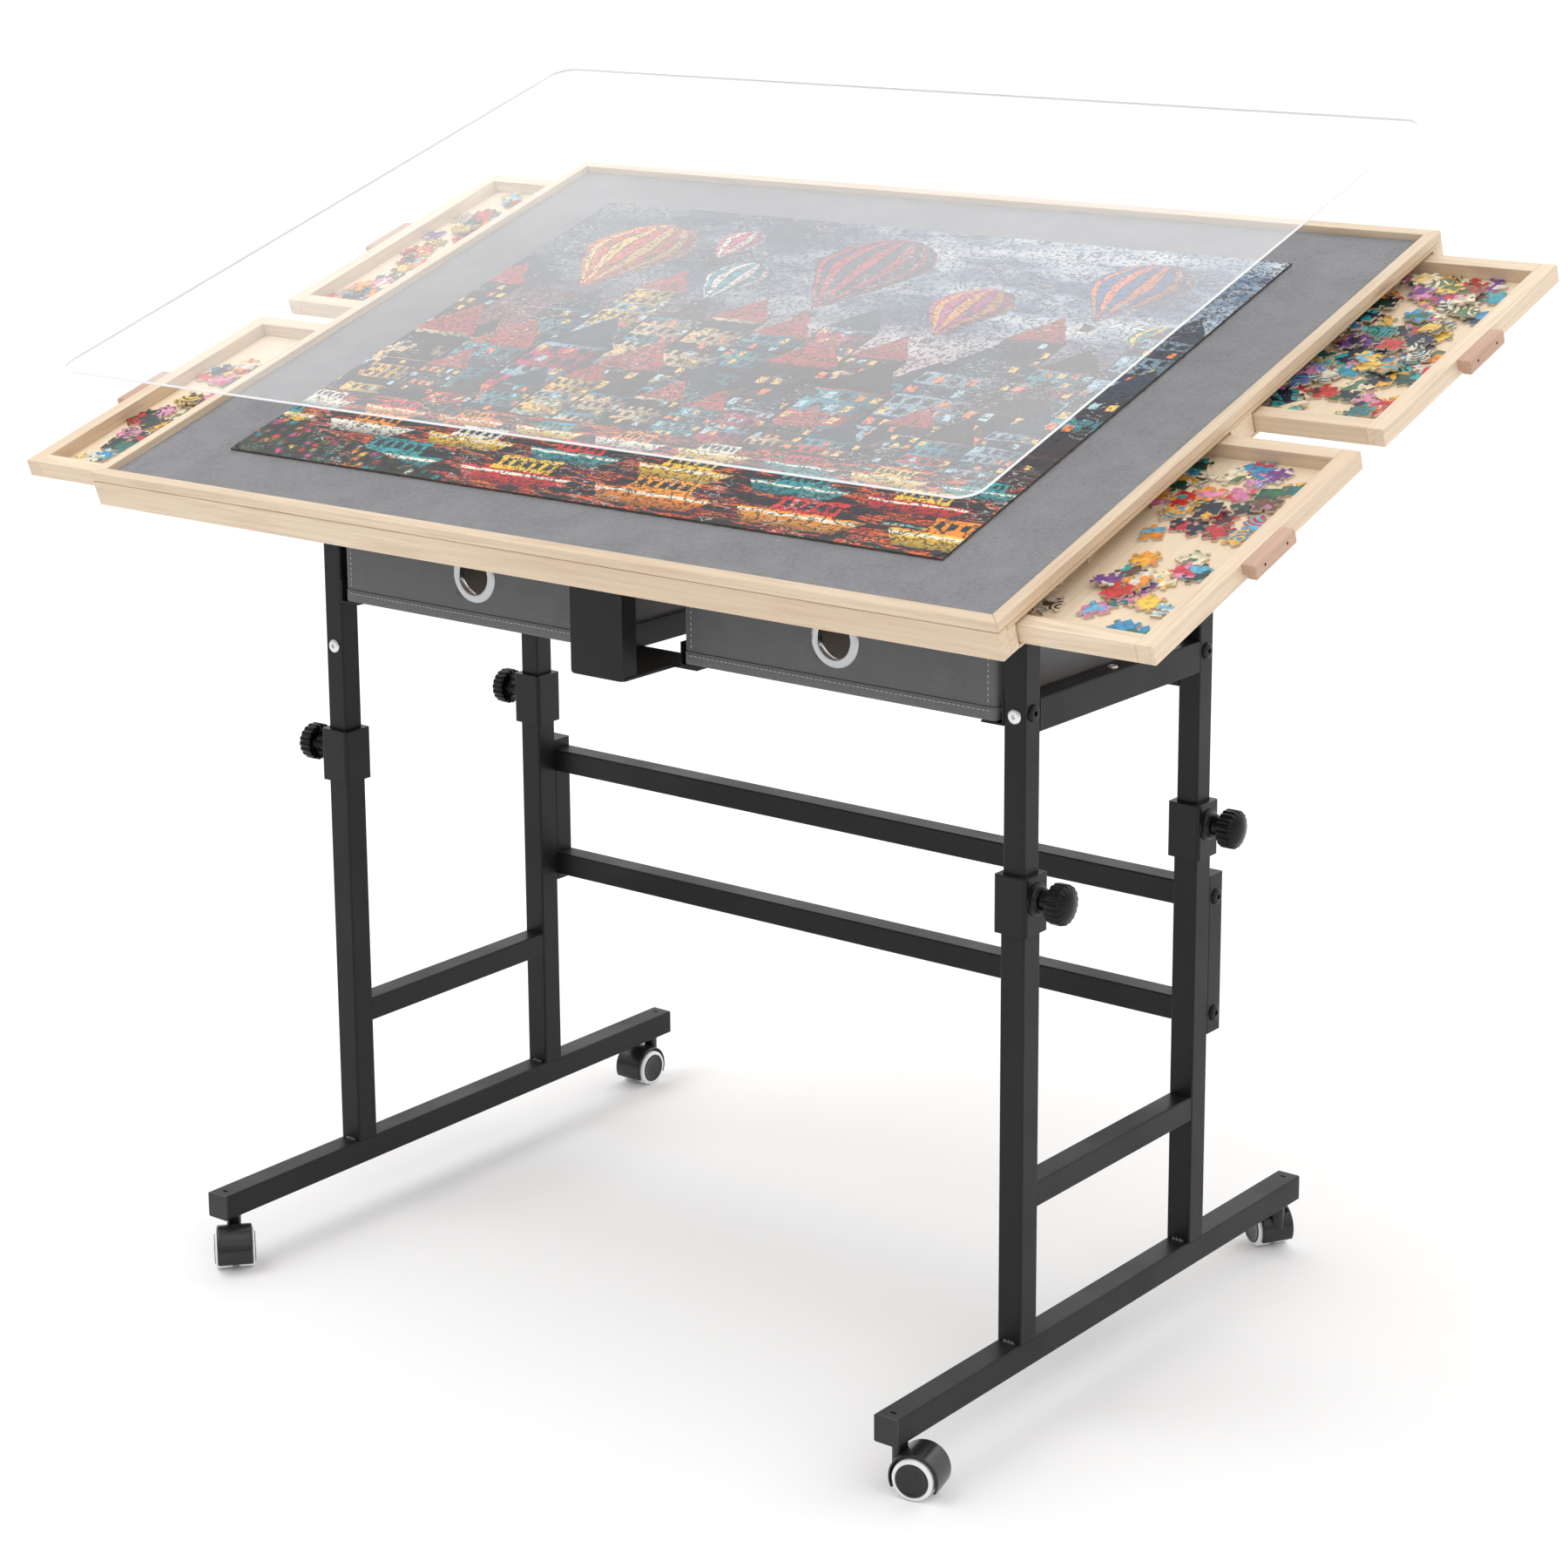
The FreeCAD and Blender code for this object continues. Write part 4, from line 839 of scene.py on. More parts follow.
@dataclass(frozen=True)
class Moulded(Finish):
    """Moulded plastic, rubber or card: a fine skin, uneven gloss and a little dust."""

    pitch: float = 0.0006
    depth: float = 0.00003
    gloss: float = 0.0
    shine: float = 0.5
    metallic: float = 0.0
    dust: float = 0.06
    lint: Colour = rgb(0.4, 0.39, 0.38)
    uneven: Pair = (-0.05, 0.07)

    def paint(self, graph: Graph) -> Inputs:
        """Adds the skin, soft variation of gloss, and dust on top faces."""
        place = graph.place()
        skin = graph.effect(Effect.SKIN, place=place, pitch=self.pitch)
        dust = graph.effect(Effect.DUST, place=place, amount=self.dust)["mask"]
        low, high = self.roughness + self.uneven[0], self.roughness + self.uneven[1]
        return {
            "Base Color": dust.mix(self.colour, self.lint),
            "Roughness": skin["tone"].span(0.3, 0.7, low, high),
            "Metallic": self.metallic,
            "Specular IOR Level": self.shine,
            "Coat Weight": self.gloss,
            "Coat Roughness": 0.12,
            "Normal": skin["height"].bump(self.depth),
        }


@dataclass(frozen=True)
class CoatedSteel(Moulded):
    """Powder-coated or plated steel, with a coarser skin and less dust."""

    pitch: float = 0.0011
    depth: float = 0.00006
    shine: float = 0.3
    dust: float = 0.035
    lint: Colour = rgb(0.3, 0.29, 0.28)
    uneven: Pair = (-0.06, 0.08)


@dataclass(frozen=True)
class BrightMetal(Finish):
    """Chrome or zinc, with faint polishing marks."""

    def paint(self, graph: Graph) -> Inputs:
        """Adds polishing marks to the gloss."""
        marks = graph.place().scaled(300.0, 300.0, 2400.0).noise(1.0, 3.0)
        smooth, worn = self.roughness * 0.6, self.roughness * 1.6
        return {"Metallic": 1.0, "Roughness": marks.span(0.3, 0.7, smooth, worn)}


@dataclass(frozen=True)
class Timber(Finish):
    """Sawn and lacquered wood, whose pattern follows each strip's own length."""

    late: Colour = rgb(0.58, 0.41, 0.27)
    ring: float = 0.0056
    contrast: float = 0.24
    knots: float = 0.6

    def paint(self, graph: Graph) -> Inputs:
        """Adds slow tones, rings, fibres, streaks and knots."""
        place = graph.stored("grain_at")
        grain = graph.effect(Effect.GRAIN, place=place, ring=self.ring, wander=0.045)
        base = self.colour
        for amount in (
            place.scaled(1.5, 12.0, 12.0).noise().span(0.38, 0.66, 0.0, 0.5),
            grain["rings"] * self.contrast,
            grain["fibre"].span(0.35, 0.7, 0.0, 0.28),
            place.scaled(13.0, 210.0, 210.0).noise().span(0.5, 0.72, 0.0, 0.5),
        ):
            base = amount.mix(base, self.late)
        return {
            "Base Color": (grain["knots"] * self.knots).mix(base, rgb(0.24, 0.11, 0.05)),
            "Roughness": grain["rings"].span(0.0, 1.0, self.roughness + 0.06, self.roughness - 0.05),
            "Normal": grain["fibre"].bump(0.00012),
        }


@dataclass(frozen=True)
class Plywood(Finish):
    """Thin plywood or hardboard: a faint figure on the faces and layers at the edges."""

    late: Colour = rgb(0.6, 0.42, 0.24)
    layer: float = 0.001

    def paint(self, graph: Graph) -> Inputs:
        """Adds the figure, and the layers where a face looks sideways."""
        place = graph.board_place()
        grain = graph.effect(Effect.GRAIN, place=place, ring=0.009, wander=0.06)
        figure = (grain["rings"] * 0.3).mix(self.colour, self.late)
        edge = ((place.parts()[2] / (self.layer * 2)).fract() > 0.5).mix(self.colour, self.late)
        flat = abs(graph.upward()).span(0.3, 0.5)
        return {"Base Color": flat.mix(edge, figure), "Normal": grain["fibre"].bump(0.00015)}


@dataclass(frozen=True)
class Cloth(Finish):
    """Felt or stiff non-woven cloth with pressed fibres and a soft sheen."""

    light: Colour = rgb(0.2, 0.2, 0.21)
    pitch: float = 0.0012
    depth: float = 0.00035
    on_board: bool = False

    def paint(self, graph: Graph) -> Inputs:
        """Adds the hairs, soft blotches and sheen."""
        place = graph.board_place() if self.on_board else graph.place()
        fibres = graph.effect(Effect.FIBRES, place=place, pitch=self.pitch)
        base = fibres["hair"].span(0.42, 0.78, 0.0, 0.75).mix(self.colour, self.light)
        return {
            "Base Color": fibres["blotch"].span(0.35, 0.7, 0.0, 0.35).mix(base, self.light),
            "Sheen Weight": 0.25,
            "Sheen Roughness": 0.6,
            "Normal": fibres["hair"].bump(self.depth),
        }


@dataclass(frozen=True)
class ClearSheet(Finish):
    """Clear acrylic: a light haze over what lies below, partly its own milkiness and partly a painted
    reflection, and a clear reflection.
    """

    haze: float = 0.16

    def paint(self, graph: Graph) -> Inputs:
        """Adds the haze as alpha with faint smears, and thickens it towards the back as a painted reflection
        of the brighter surround there.
        """
        place = graph.board_place()
        # Painted reflection: back raises the white haze towards the board's back, where the sheet would
        # reflect a brighter surround.
        back = place.parts()[1].span(-0.25, 0.3, 0.6, 1.3)
        veil = place.scaled(5.0, 9.0, 1.0).noise(1.0, 3.0).span(0.3, 0.7, self.haze * 0.92, self.haze * 1.08)
        return {"Alpha": (veil * back).at_most(1.0), "Coat Weight": 0.4, "Coat Roughness": 0.03}


class Painting:
    """The printed picture: striped balloons over a hillside town, river boats and a flower bank."""

    BALLOONS = [
        ((0.1, 0.4, 0.0), 0.056, 11.0, rgb(0.8, 0.1, 0.03), rgb(0.9, 0.55, 0.12)),
        ((0.235, 0.37, 0.0), 0.032, 9.0, rgb(0.02, 0.35, 0.45), rgb(0.9, 0.85, 0.75)),
        ((0.345, 0.41, 0.0), 0.058, 13.0, rgb(0.6, 0.02, 0.05), rgb(0.05, 0.05, 0.1)),
        ((0.48, 0.36, 0.0), 0.038, 9.0, rgb(0.9, 0.35, 0.03), rgb(0.55, 0.04, 0.2)),
        ((0.6, 0.42, 0.0), 0.046, 11.0, rgb(0.03, 0.12, 0.35), rgb(0.85, 0.2, 0.04)),
        ((0.665, 0.34, 0.0), 0.024, 9.0, rgb(0.9, 0.62, 0.1), rgb(0.02, 0.3, 0.25)),
        ((0.19, 0.435, 0.0), 0.024, 7.0, rgb(0.7, 0.05, 0.25), rgb(0.9, 0.8, 0.6)),
    ]
    HOUSES = [(0.056, 0.16, 0.11, 3.3), (0.074, 0.13, 0.075, 8.1), (0.047, 0.108, 0.042, 1.7)]
    BOATS = [(0.082, 0.082, 2.3), (0.108, 0.05, 5.6), (0.136, 0.008, 9.4)]

    def colour(self, place: Value) -> Value:
        """Paints the picture from back to front.

        Args:
            place: Metres across and up the picture.

        Returns:
            The picture's colour.
        """
        graph = place.graph
        wobble = place.noise(70.0, 3.0, output=1).vector("SUBTRACT", (0.5, 0.5, 0.5))
        at = place.vector("ADD", wobble.scaled(0.006, 0.006, 0.0))
        across, up, _ = at.parts()
        picture = at.scaled(7.0, 16.0, 1.0).noise(1.0, 6.0, 0.62).ramp(SKY)
        picture = across.span(0.1, 0.5, 0.72, 0.0).mix(picture, rgb(0.015, 0.02, 0.05))
        picture = up.span(0.2, 0.34, 0.6, 0.0).mix(picture, rgb(0.75, 0.2, 0.07))
        for row in self.BALLOONS:
            inputs = dict(zip(("centre", "radius", "gores", "light", "dark"), row))
            picture = graph.effect(Effect.BALLOON, place=at, behind=picture, **inputs)["colour"]
        ridge = at.scaled(9.0, 0.0, 0.0).noise(1.0, 4.0).span(0.3, 0.7, 0.2, 0.275)
        trees = at.noise(260.0).ramp(LEAVES)
        picture = (up < ridge).mix(picture, trees)
        for row in self.HOUSES:
            inputs = dict(zip(("width", "base", "tall", "seed"), row))
            picture = graph.effect(Effect.HOUSES, place=at, behind=picture, **inputs)["colour"]
        water = at.scaled(13.0, 95.0, 1.0).noise(1.0, 4.0, 0.65).ramp(WATER_LIGHTS)
        picture = (up < 0.112).mix(picture, water)
        for row in self.BOATS:
            inputs = dict(zip(("width", "base", "seed"), row))
            picture = graph.effect(Effect.BOATS, place=at, behind=picture, **inputs)["colour"]
        petals = at.cells(120.0, "Color").parts()[0].ramp(FLOWERS, True)
        garden = at.cells(120.0).span(0.15, 0.62).mix(petals, rgb(0.004, 0.012, 0.006))
        garden = (at.noise(24.0) > 0.42).mix(trees, garden)
        picture = (up < across.span(0.0, 0.34, 0.06, -0.02)).mix(picture, garden)
        return graph.effect(Effect.PEN, place=at, colour=picture)["colour"]


@dataclass(frozen=True)
class PrintedCard(Finish):
    """The printed face of the finished puzzle, with a faint linen texture."""

    def paint(self, graph: Graph) -> Inputs:
        """Adds the picture and the linen's bump."""
        place = graph.stored("print_at")
        linen = place.scaled(1400.0, 1400.0, 0.0).noise(1.0, 1.0)
        return {"Base Color": Painting().colour(place), "Normal": linen.bump(0.00005)}


@dataclass(frozen=True)
class LooseCard(Finish):
    """The printed faces of loose pieces: one ground colour each, and one mark in another."""

    def paint(self, graph: Graph) -> Inputs:
        """Adds the ground, then rings or a blot in a second ink; both inks come from the piece's draw."""
        place = graph.stored("print_at")
        draw = place.parts()[2]
        flat = place.scaled(1.0, 1.0, 0.0)
        ringed = ((flat.cells(38.0) * 46.0).sine() > 0.1) * ((draw * 5.3).fract() > 0.68)
        mask = (flat.noise(75.0, 1.0, 0.4) > 0.54).at_least(ringed) * 0.9
        base = mask.mix(draw.ramp(LOOSE_GROUNDS, True), (draw * 13.7).fract().ramp(LOOSE_MARKS, True))
        shade = flat.noise(160.0, 3.0).span(0.4, 0.65, 0.0, 0.5)
        return {"Base Color": shade.mix(base, rgb(0.01, 0.012, 0.02))}


@dataclass(frozen=True)
class PaleFloor(Finish):
    """The studio's floor, matt with a faint mottle."""

    def paint(self, graph: Graph) -> Inputs:
        """Adds the mottle to the roughness."""
        return {"Roughness": graph.place().noise(3.0).span(0.3, 0.7, 0.7, 0.8)}


PRINTED_CARD = PrintedCard("printed_card", rgb(0.3, 0.3, 0.3), 0.4)
LOOSE_CARD = LooseCard("loose_card", rgb(0.3, 0.3, 0.3), 0.4)
FLAT_CARD = Moulded("card_core", rgb(0.1, 0.085, 0.07), 0.85)
PALE_CARD = Moulded("card_pale", rgb(0.62, 0.53, 0.42), 0.85)
STEEL = CoatedSteel("black_powder_coat", rgb(0.011, 0.011, 0.012), 0.4, shine=0.24)
WELD = CoatedSteel("coated_weld", rgb(0.045, 0.045, 0.046), 0.24, shine=0.9, dust=0.0)
BLACK_BOLT = CoatedSteel("black_oxide", rgb(0.02, 0.02, 0.021), 0.35, metallic=0.6, dust=0.02)
ZINC = BrightMetal("zinc_plate", rgb(0.72, 0.73, 0.74), 0.32)
CHROME = BrightMetal("bright_chrome", rgb(0.44, 0.445, 0.45), 0.2)
BLACK_PLASTIC = Moulded("black_plastic", rgb(0.016, 0.016, 0.017), 0.45)
COLLAR_PLASTIC = Moulded("collar_plastic", rgb(0.006, 0.006, 0.007), 0.34, gloss=0.06, shine=0.25)
KNOB_PLASTIC = Moulded("knob_plastic", rgb(0.003, 0.003, 0.004), 0.16, gloss=0.05, shine=0.16)
HOOD_PLASTIC = Moulded("caster_plastic", rgb(0.01, 0.01, 0.011), 0.24, gloss=0.2, shine=0.4)
WHITE_TREAD = Moulded("white_tread", rgb(0.86, 0.86, 0.86), 0.4)
RUBBER = Moulded("black_rubber", rgb(0.02, 0.02, 0.02), 0.8, depth=0.0001)
PINE = Timber("pine", rgb(0.83, 0.7, 0.525), 0.45)
TRAY_FLOOR = Timber("tray_floor", rgb(0.86, 0.73, 0.55), 0.5, rgb(0.7, 0.54, 0.37), contrast=0.3, knots=0.0)
STAINED_PINE = Timber("stained_pine", rgb(0.57, 0.37, 0.27), 0.45, rgb(0.42, 0.24, 0.16), knots=0.0)
PANEL = Plywood("plywood", rgb(0.72, 0.56, 0.4), 0.55)
FELT = Cloth("grey_felt", rgb(0.145, 0.145, 0.158), 0.9, rgb(0.3, 0.298, 0.315), on_board=True)
NON_WOVEN = Cloth("grey_non_woven", rgb(0.092, 0.093, 0.096), 0.8, rgb(0.135, 0.136, 0.141), 0.0009, 0.0002)
THREAD = Cloth("grey_thread", rgb(0.4, 0.4, 0.41), 0.8, rgb(0.55, 0.55, 0.56), 0.0005)
# The clear sheet's white haze is partly its milkiness and partly a painted reflection, thicker towards the
# back.
CLEAR = ClearSheet("clear_acrylic", rgb(0.95, 0.96, 0.97), 0.08)
SHEET_EDGE = ClearSheet("acrylic_edge", rgb(0.87, 0.87, 0.87), 0.3, haze=4.0)
FLOOR = PaleFloor("studio_floor", rgb(0.93, 0.93, 0.935))


def dress_node(node: str, finish: Finish) -> None:
    """Gives a CAD node a finish in all its material slots."""
    piece = frame["nodes"][node]
    if not piece.material_slots:
        piece.data.materials.append(finish.material())
    for slot in piece.material_slots:
        slot.material = finish.material()
    log.info("%s: %s", node, finish.name)


def settle(piece: Piece, body: str, slot: str, node: str, *finishes: Finish) -> None:
    """Gives a piece its finishes and its place in the assembly.

    Args:
        piece: The piece.
        body: The body that it rides on.
        slot: Its material slot in the record; not used.
        node: The CAD node that it stands for, or nothing.
        finishes: Its finishes, in the order of its faces' numbers.
    """
    for finish in finishes:
        piece.data.materials.append(finish.material())
    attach(piece, body)
    if node:
        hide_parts(node)
    log.info("%s rides on %s", piece.name, body)


# ---------- steel and fittings


@dataclass
class SteelFrame:
    """The welded steel frames and their plastic fittings, kept as the CAD solids."""

    weld_radius: float = 2.1
    weld_length: float = 11.0
    weld_drop: float = 3.2
    weld_steps: int = 22
    weld_sides: int = 10

    STEEL = (
        "foot_rails", "lower_legs_left", "lower_legs_right", "low_bars", "rear_posts", "crossbars",
        "upper_legs_left", "upper_legs_right", "side_arm_left", "side_arm_right", "front_beam",
        "rear_beam", "back_rail", "side_rail_left", "side_rail_right", "drawer_runners_left",
        "drawer_runners_right", "center_bracket", "tilt_frame", "tilt_hinge_lower", "tilt_hinge_upper",
    )

    def build(self) -> None:
        """Dresses the carried-over solids and adds the weld beads."""
        for node in self.STEEL:
            dress_node(node, STEEL)
        dress_node("rest_pads", RUBBER)
        dress_node("foot_caps", BLACK_PLASTIC)
        dress_node("leg_collars", COLLAR_PLASTIC)
        for corner in CORNERS:
            dress_node("caster_hood_" + corner, HOOD_PLASTIC)
        rail_top = node_box("foot_rails")[1][2]
        deck = node_box("side_arm_right")[0][2]
        self.welds("lower", rail_top)
        self.welds("upper", deck)

    def bead(self, start: Array, end: Array, seed: int) -> Shape:
        """A tack weld: a thick rod along a corner whose radius rises and falls with each drop of metal.

        Point (i, j) = start + (end - start) t_i + r_i (cos a_j, sin a_j) across the line, where
        r_i = r (1 + 0.3 sin of the drops + a random part) and narrows to a third at both ends.

        Args:
            start: One end.
            end: The other end.
            seed: Sets the bead's unevenness.

        Returns:
            The bead.
        """
        along, up = end - start, np.array([0.0, 0.0, 1.0])
        length = np.linalg.norm(along)
        side = np.cross(along / length, up)
        t = np.linspace(0, 1, self.weld_steps)
        wobble = np.random.default_rng(seed).uniform(-0.12, 0.12, (self.weld_steps, self.weld_sides))
        swell = (1 + 0.3 * np.sin(2 * np.pi * (length / self.weld_drop * t + 0.13 * seed)))[:, None] + wobble
        swell *= np.clip(5 * np.minimum(t, 1 - t) + 0.33, 0, 1)[:, None]
        turn = circle(self.weld_sides)[:, None]
        ring = np.cos(turn) * side + np.sin(turn) * up
        points = start + along * t[:, None, None] + self.weld_radius * swell[..., None] * ring
        return points.reshape(-1, 3), tube_faces(self.weld_steps, self.weld_sides)

    def welds(self, name: str, level: float) -> None:
        """Tacks before and behind each leg of the lower or upper frame, at a level."""
        low, high = node_box(name + "_legs_right")
        width = high[0] - low[0]
        half = np.array([self.weld_length / 2, 0, 0])
        shapes = []
        for side in (-1, 1):
            for face in (low[1], low[1] + width, high[1] - width, high[1]):
                middle = np.array([side * (low[0] + width / 2), face, level])
                shapes.append(self.bead(middle - half, middle + half, len(shapes)))
        piece = make_piece("frame_welds_" + name, join_shapes(shapes), 60)
        settle(piece, name + "_frame", "steel_" + name, "", WELD)


@dataclass
class Fasteners:
    """Button-head bolts and pan-head screws with six-sided sockets, in the places of the CAD ones."""

    bolt_head: float = 6.4
    bolt_tall: float = 2.6
    bolt_shank: float = 2.5
    bolt_socket: float = 2.2
    screw_head: float = 5.7
    screw_socket: float = 1.9
    side_screw_head: float = 4.2
    side_screw_socket: float = 1.5
    screw_tall: float = 1.6
    screw_shank: float = 2.0
    screw_long: float = 6.0
    leg_bolt_long: float = 22.0
    post_bolt_long: float = 27.0
    plain_bolt_head: float = 4.6
    plain_screw_head: float = 4.2
    right_screw_rise: float = 47.0
    steps: int = 48

    def fastener(self, head: float, tall: float, shank: float, length: float, socket: float) -> Shape:
        """A lathe about X, with the head outside x = 0 and the shank inside.

        On the socket's rows the radius is multiplied by cos 30 / cos(t mod 60 - 30), a hexagon.

        Args:
            head: The head's radius.
            tall: The head's height.
            shank: The shank's radius.
            length: The shank's length.
            socket: Radius across the socket's corners.

        Returns:
            The fastener.
        """
        knots = [
            (-length, HAIR), (-length, shank - 0.4), (-length + 0.4, shank), (-HAIR, shank),
            (0.0, head - 0.15), (0.15, head), (0.4 * tall, head - 0.1), (0.72 * tall, 0.9 * head),
            (0.93 * tall, 0.74 * head), (tall, 0.58 * head), (tall, socket + 0.12),
            (tall - 0.15, socket), (0.3 * tall, socket), (0.3 * tall, HAIR),
        ]
        turn = np.linspace(0, 360, self.steps, endpoint=False)
        swell = np.ones((len(knots), self.steps))
        swell[10:13] = math.cos(math.pi / 6) / np.cos(np.radians(turn % 60 - 30))
        return lathe(knots, self.steps, swell)

    def placed(self, shape: Shape, order: list[int], way: float, spot: Triple) -> Shape:
        """The shape with its axes put in another order, mirrored along its length and moved to spot."""
        points, faces = shape
        return (points * np.array([way, 1, 1]))[:, order] + np.array(spot), faces

    def bolts(self, node: str, body: str, length: float, spots: list[Triple]) -> None:
        """Puts a bolt with its head outwards at each spot.

        Args:
            node: The CAD node that the bolts stand for.
            body: The body that they ride on.
            length: The shank's length.
            spots: Where each head meets what it clamps.
        """
        bolt = self.fastener(self.bolt_head, self.bolt_tall, self.bolt_shank, length, self.bolt_socket)
        shapes = [self.placed(bolt, [0, 1, 2], math.copysign(1, spot[0]), spot) for spot in spots]
        piece = make_piece(node + "_dressed", join_shapes(shapes), 40)
        settle(piece, body, "black_bolt", node, BLACK_BOLT)

    def build(self) -> None:
        """Four bolts in the legs, four in the posts, and four silver screws."""
        (_, _, z0), (x1, y1, z1) = node_box("frame_bolts")
        face, rim = x1 - self.bolt_tall, self.plain_bolt_head
        spots = [(side * face, end * (y1 - rim), (z0 + z1) / 2) for side in (-1, 1) for end in (-1, 1)]
        self.bolts("frame_bolts", "upper_frame", self.leg_bolt_long, spots)
        (_, y0, z0), (x1, y1, z1) = node_box("crossbar_bolts")
        face = x1 - self.bolt_tall
        spots = [(side * face, (y0 + y1) / 2, z) for side in (-1, 1) for z in (z0 + rim, z1 - rim)]
        self.bolts("crossbar_bolts", "lower_frame", self.post_bolt_long, spots)
        (_, y0, z0), (x1, _, z1) = node_box("frame_screws")
        tall, rim, size = self.screw_tall, self.plain_screw_head, (self.screw_shank, self.screw_long)
        large = self.fastener(self.screw_head, tall, *size, self.screw_socket)
        small = self.fastener(self.side_screw_head, tall, *size, self.side_screw_socket)
        shapes = []
        for side, rise in ((-1, 0.0), (1, self.right_screw_rise)):
            x = side * (x1 - rim)
            shapes.append(self.placed(large, [1, 0, 2], -1, (x, y0 + tall, z0 + rim + rise)))
            shapes.append(self.placed(small, [2, 1, 0], 1, (x, 0, z1 - tall)))
        piece = make_piece("frame_screws_dressed", join_shapes(shapes), 40)
        settle(piece, "upper_frame", "silver_screw", "frame_screws", ZINC)


@dataclass
class ClampKnob:
    """A fluted star knob that clamps a leg, turned about X and mirrored for the left side."""

    flutes: int = 18
    flute_depth: float = 0.95
    grip_radius: float = 15.4
    grip_start: float = 29.0
    grip_end: float = 41.0
    tip: float = 45.0
    neck_radius: float = 7.5
    neck_start: float = 20.3
    shank_radius: float = 4.0
    shank_start: float = 9.55
    arris: float = 0.25
    first_turn: float = 11.0
    turn_step: float = 47.0
    steps: int = 216

    def shape(self) -> Shape:
        """A lathe profile whose radius dips at each flute over the grip's length.

        r_ij = r_i (1 - depth w_i f(t_j)), with f = the square of (1 + cos 18 t) / 2 and w_i = 1
        on the grip's side, falling to 0 on its two faces.

        Returns:
            The knob, with the leg's middle at x = 0.
        """
        g, start, end, tip = self.grip_radius, self.grip_start, self.grip_end, self.tip
        neck, foot, shank = self.neck_radius, self.neck_start, self.shank_radius
        knots = [
            (self.shank_start, HAIR), (self.shank_start, shank), (foot - HAIR, shank), (foot, neck),
            (foot + 5.5, neck), (start - 1.2, neck + 0.7), (start, neck + 2.6), (start, g - 1.6),
            (start + 0.45, g - 0.5), (start + 1.5, g), (end - 2.2, g), (end - 0.9, g - 0.35),
            (end, g - 1.3), (end + 0.7, g - 2.6), (tip - 2.2, g - 5.0), (tip - 1.1, g - 8.0),
            (tip - 0.3, g - 11.6), (tip, HAIR),
        ]
        weight = np.zeros(len(knots))
        weight[7:14] = (0.8, 0.95, 1.0, 1.0, 1.0, 0.95, 0.75)
        turn = circle(self.steps)
        flute = ((1 + np.cos(self.flutes * turn)) / 2) ** 2
        return lathe(knots, self.steps, 1 - weight[:, None] * flute * self.flute_depth / g)

    def build(self) -> None:
        """Puts a knob on each leg, each turned by its own angle."""
        points, faces = self.shape()
        for number, (corner, side) in enumerate(CORNERS.items()):
            low, high = node_box("knob_" + corner)
            turn = math.radians(self.first_turn + self.turn_step * number)
            c, s = math.cos(turn), math.sin(turn)
            outer = high[0] if side > 0 else -low[0]
            middle = (low + high) / 2
            middle[0] = side * (outer - self.tip)
            spun = points @ np.array([[side, 0, 0], [0, c, s], [0, -s, c]]) + middle
            piece = soften(make_piece("clamp_knob_" + corner, (spun, faces), 40), self.arris)
            settle(piece, "knob_" + corner, "knob_plastic", "knob_" + corner, KNOB_PLASTIC)


@dataclass
class CasterWheels:
    """Twin caster wheels: two white treads, two black hubs and the axle between them."""

    radius: float = 16.0
    inside: float = 1.8
    outside: float = 16.0
    hub_radius: float = 12.6
    axle_radius: float = 2.5
    steps: int = 72

    def tread(self) -> Shape:
        """A rounded ring: a lathe of a profile with a crowned tread and a recess for the hub."""
        a, b, r, hub = self.inside, self.outside, self.radius, self.hub_radius
        knots = [
            (a, HAIR), (a, r - 2.2), (a + 0.5, r - 0.9), (a + 1.6, r - 0.2), (a + 4.0, r), (b - 4.0, r),
            (b - 1.6, r - 0.2), (b - 0.5, r - 0.9), (b, r - 2.2), (b, hub + 0.25), (b - 0.6, hub),
            (b - 1.6, hub), (b - 1.6, HAIR),
        ]
        return lathe(knots, self.steps)

    def hub(self) -> Shape:
        """A black disc with a rolled edge and a face that is dished by under a millimetre."""
        b, r = self.outside, self.hub_radius
        knots = [
            (b - 1.4, HAIR), (b - 1.4, r - 0.1), (b + 0.2, r - 0.15), (b + 0.6, r - 0.45), (b + 0.7, r - 1.0),
            (b + 0.6, r - 1.7), (b + 0.2, r - 2.6), (b, r - 4.0), (b - 0.1, 5.0), (b - 0.1, HAIR),
        ]
        return lathe(knots, self.steps)

    def axle(self) -> Shape:
        """A plain pin between the hubs with chamfered ends."""
        a, r = self.outside - 1.7, self.axle_radius
        return lathe([(-a, HAIR), (-a, r - 0.3), (-a + 0.3, r), (a - 0.3, r), (a, r - 0.3), (a, HAIR)], 24)

    def build(self) -> None:
        """Puts the wheels under each hood, at its own angle: each shape and its mirror, turned about Z."""
        mirror = np.array([-1, 1, 1])
        for corner, yaw in CASTER_YAW.items():
            body = "caster_wheels_" + corner
            low, high = node_box(body)
            middle = np.array([*(low + high)[:2] / 2, self.radius])
            c, s = math.cos(math.radians(yaw)), math.sin(math.radians(yaw))
            for name, shape, more, finish, slot in (
                ("caster_treads_", self.tread(), [], WHITE_TREAD, "wheel_white"),
                ("caster_hubs_", self.hub(), [self.axle()], HOOD_PLASTIC, "black_plastic"),
            ):
                points, faces = join_shapes([(shape[0] * mirror, shape[1]), shape, *more])
                seated = points @ np.array([[c, s, 0], [-s, c, 0], [0, 0, 1]]) + middle
                settle(make_piece(name + corner, (seated, faces), 40), body, slot, body, finish)


# ---------- the board and its trays


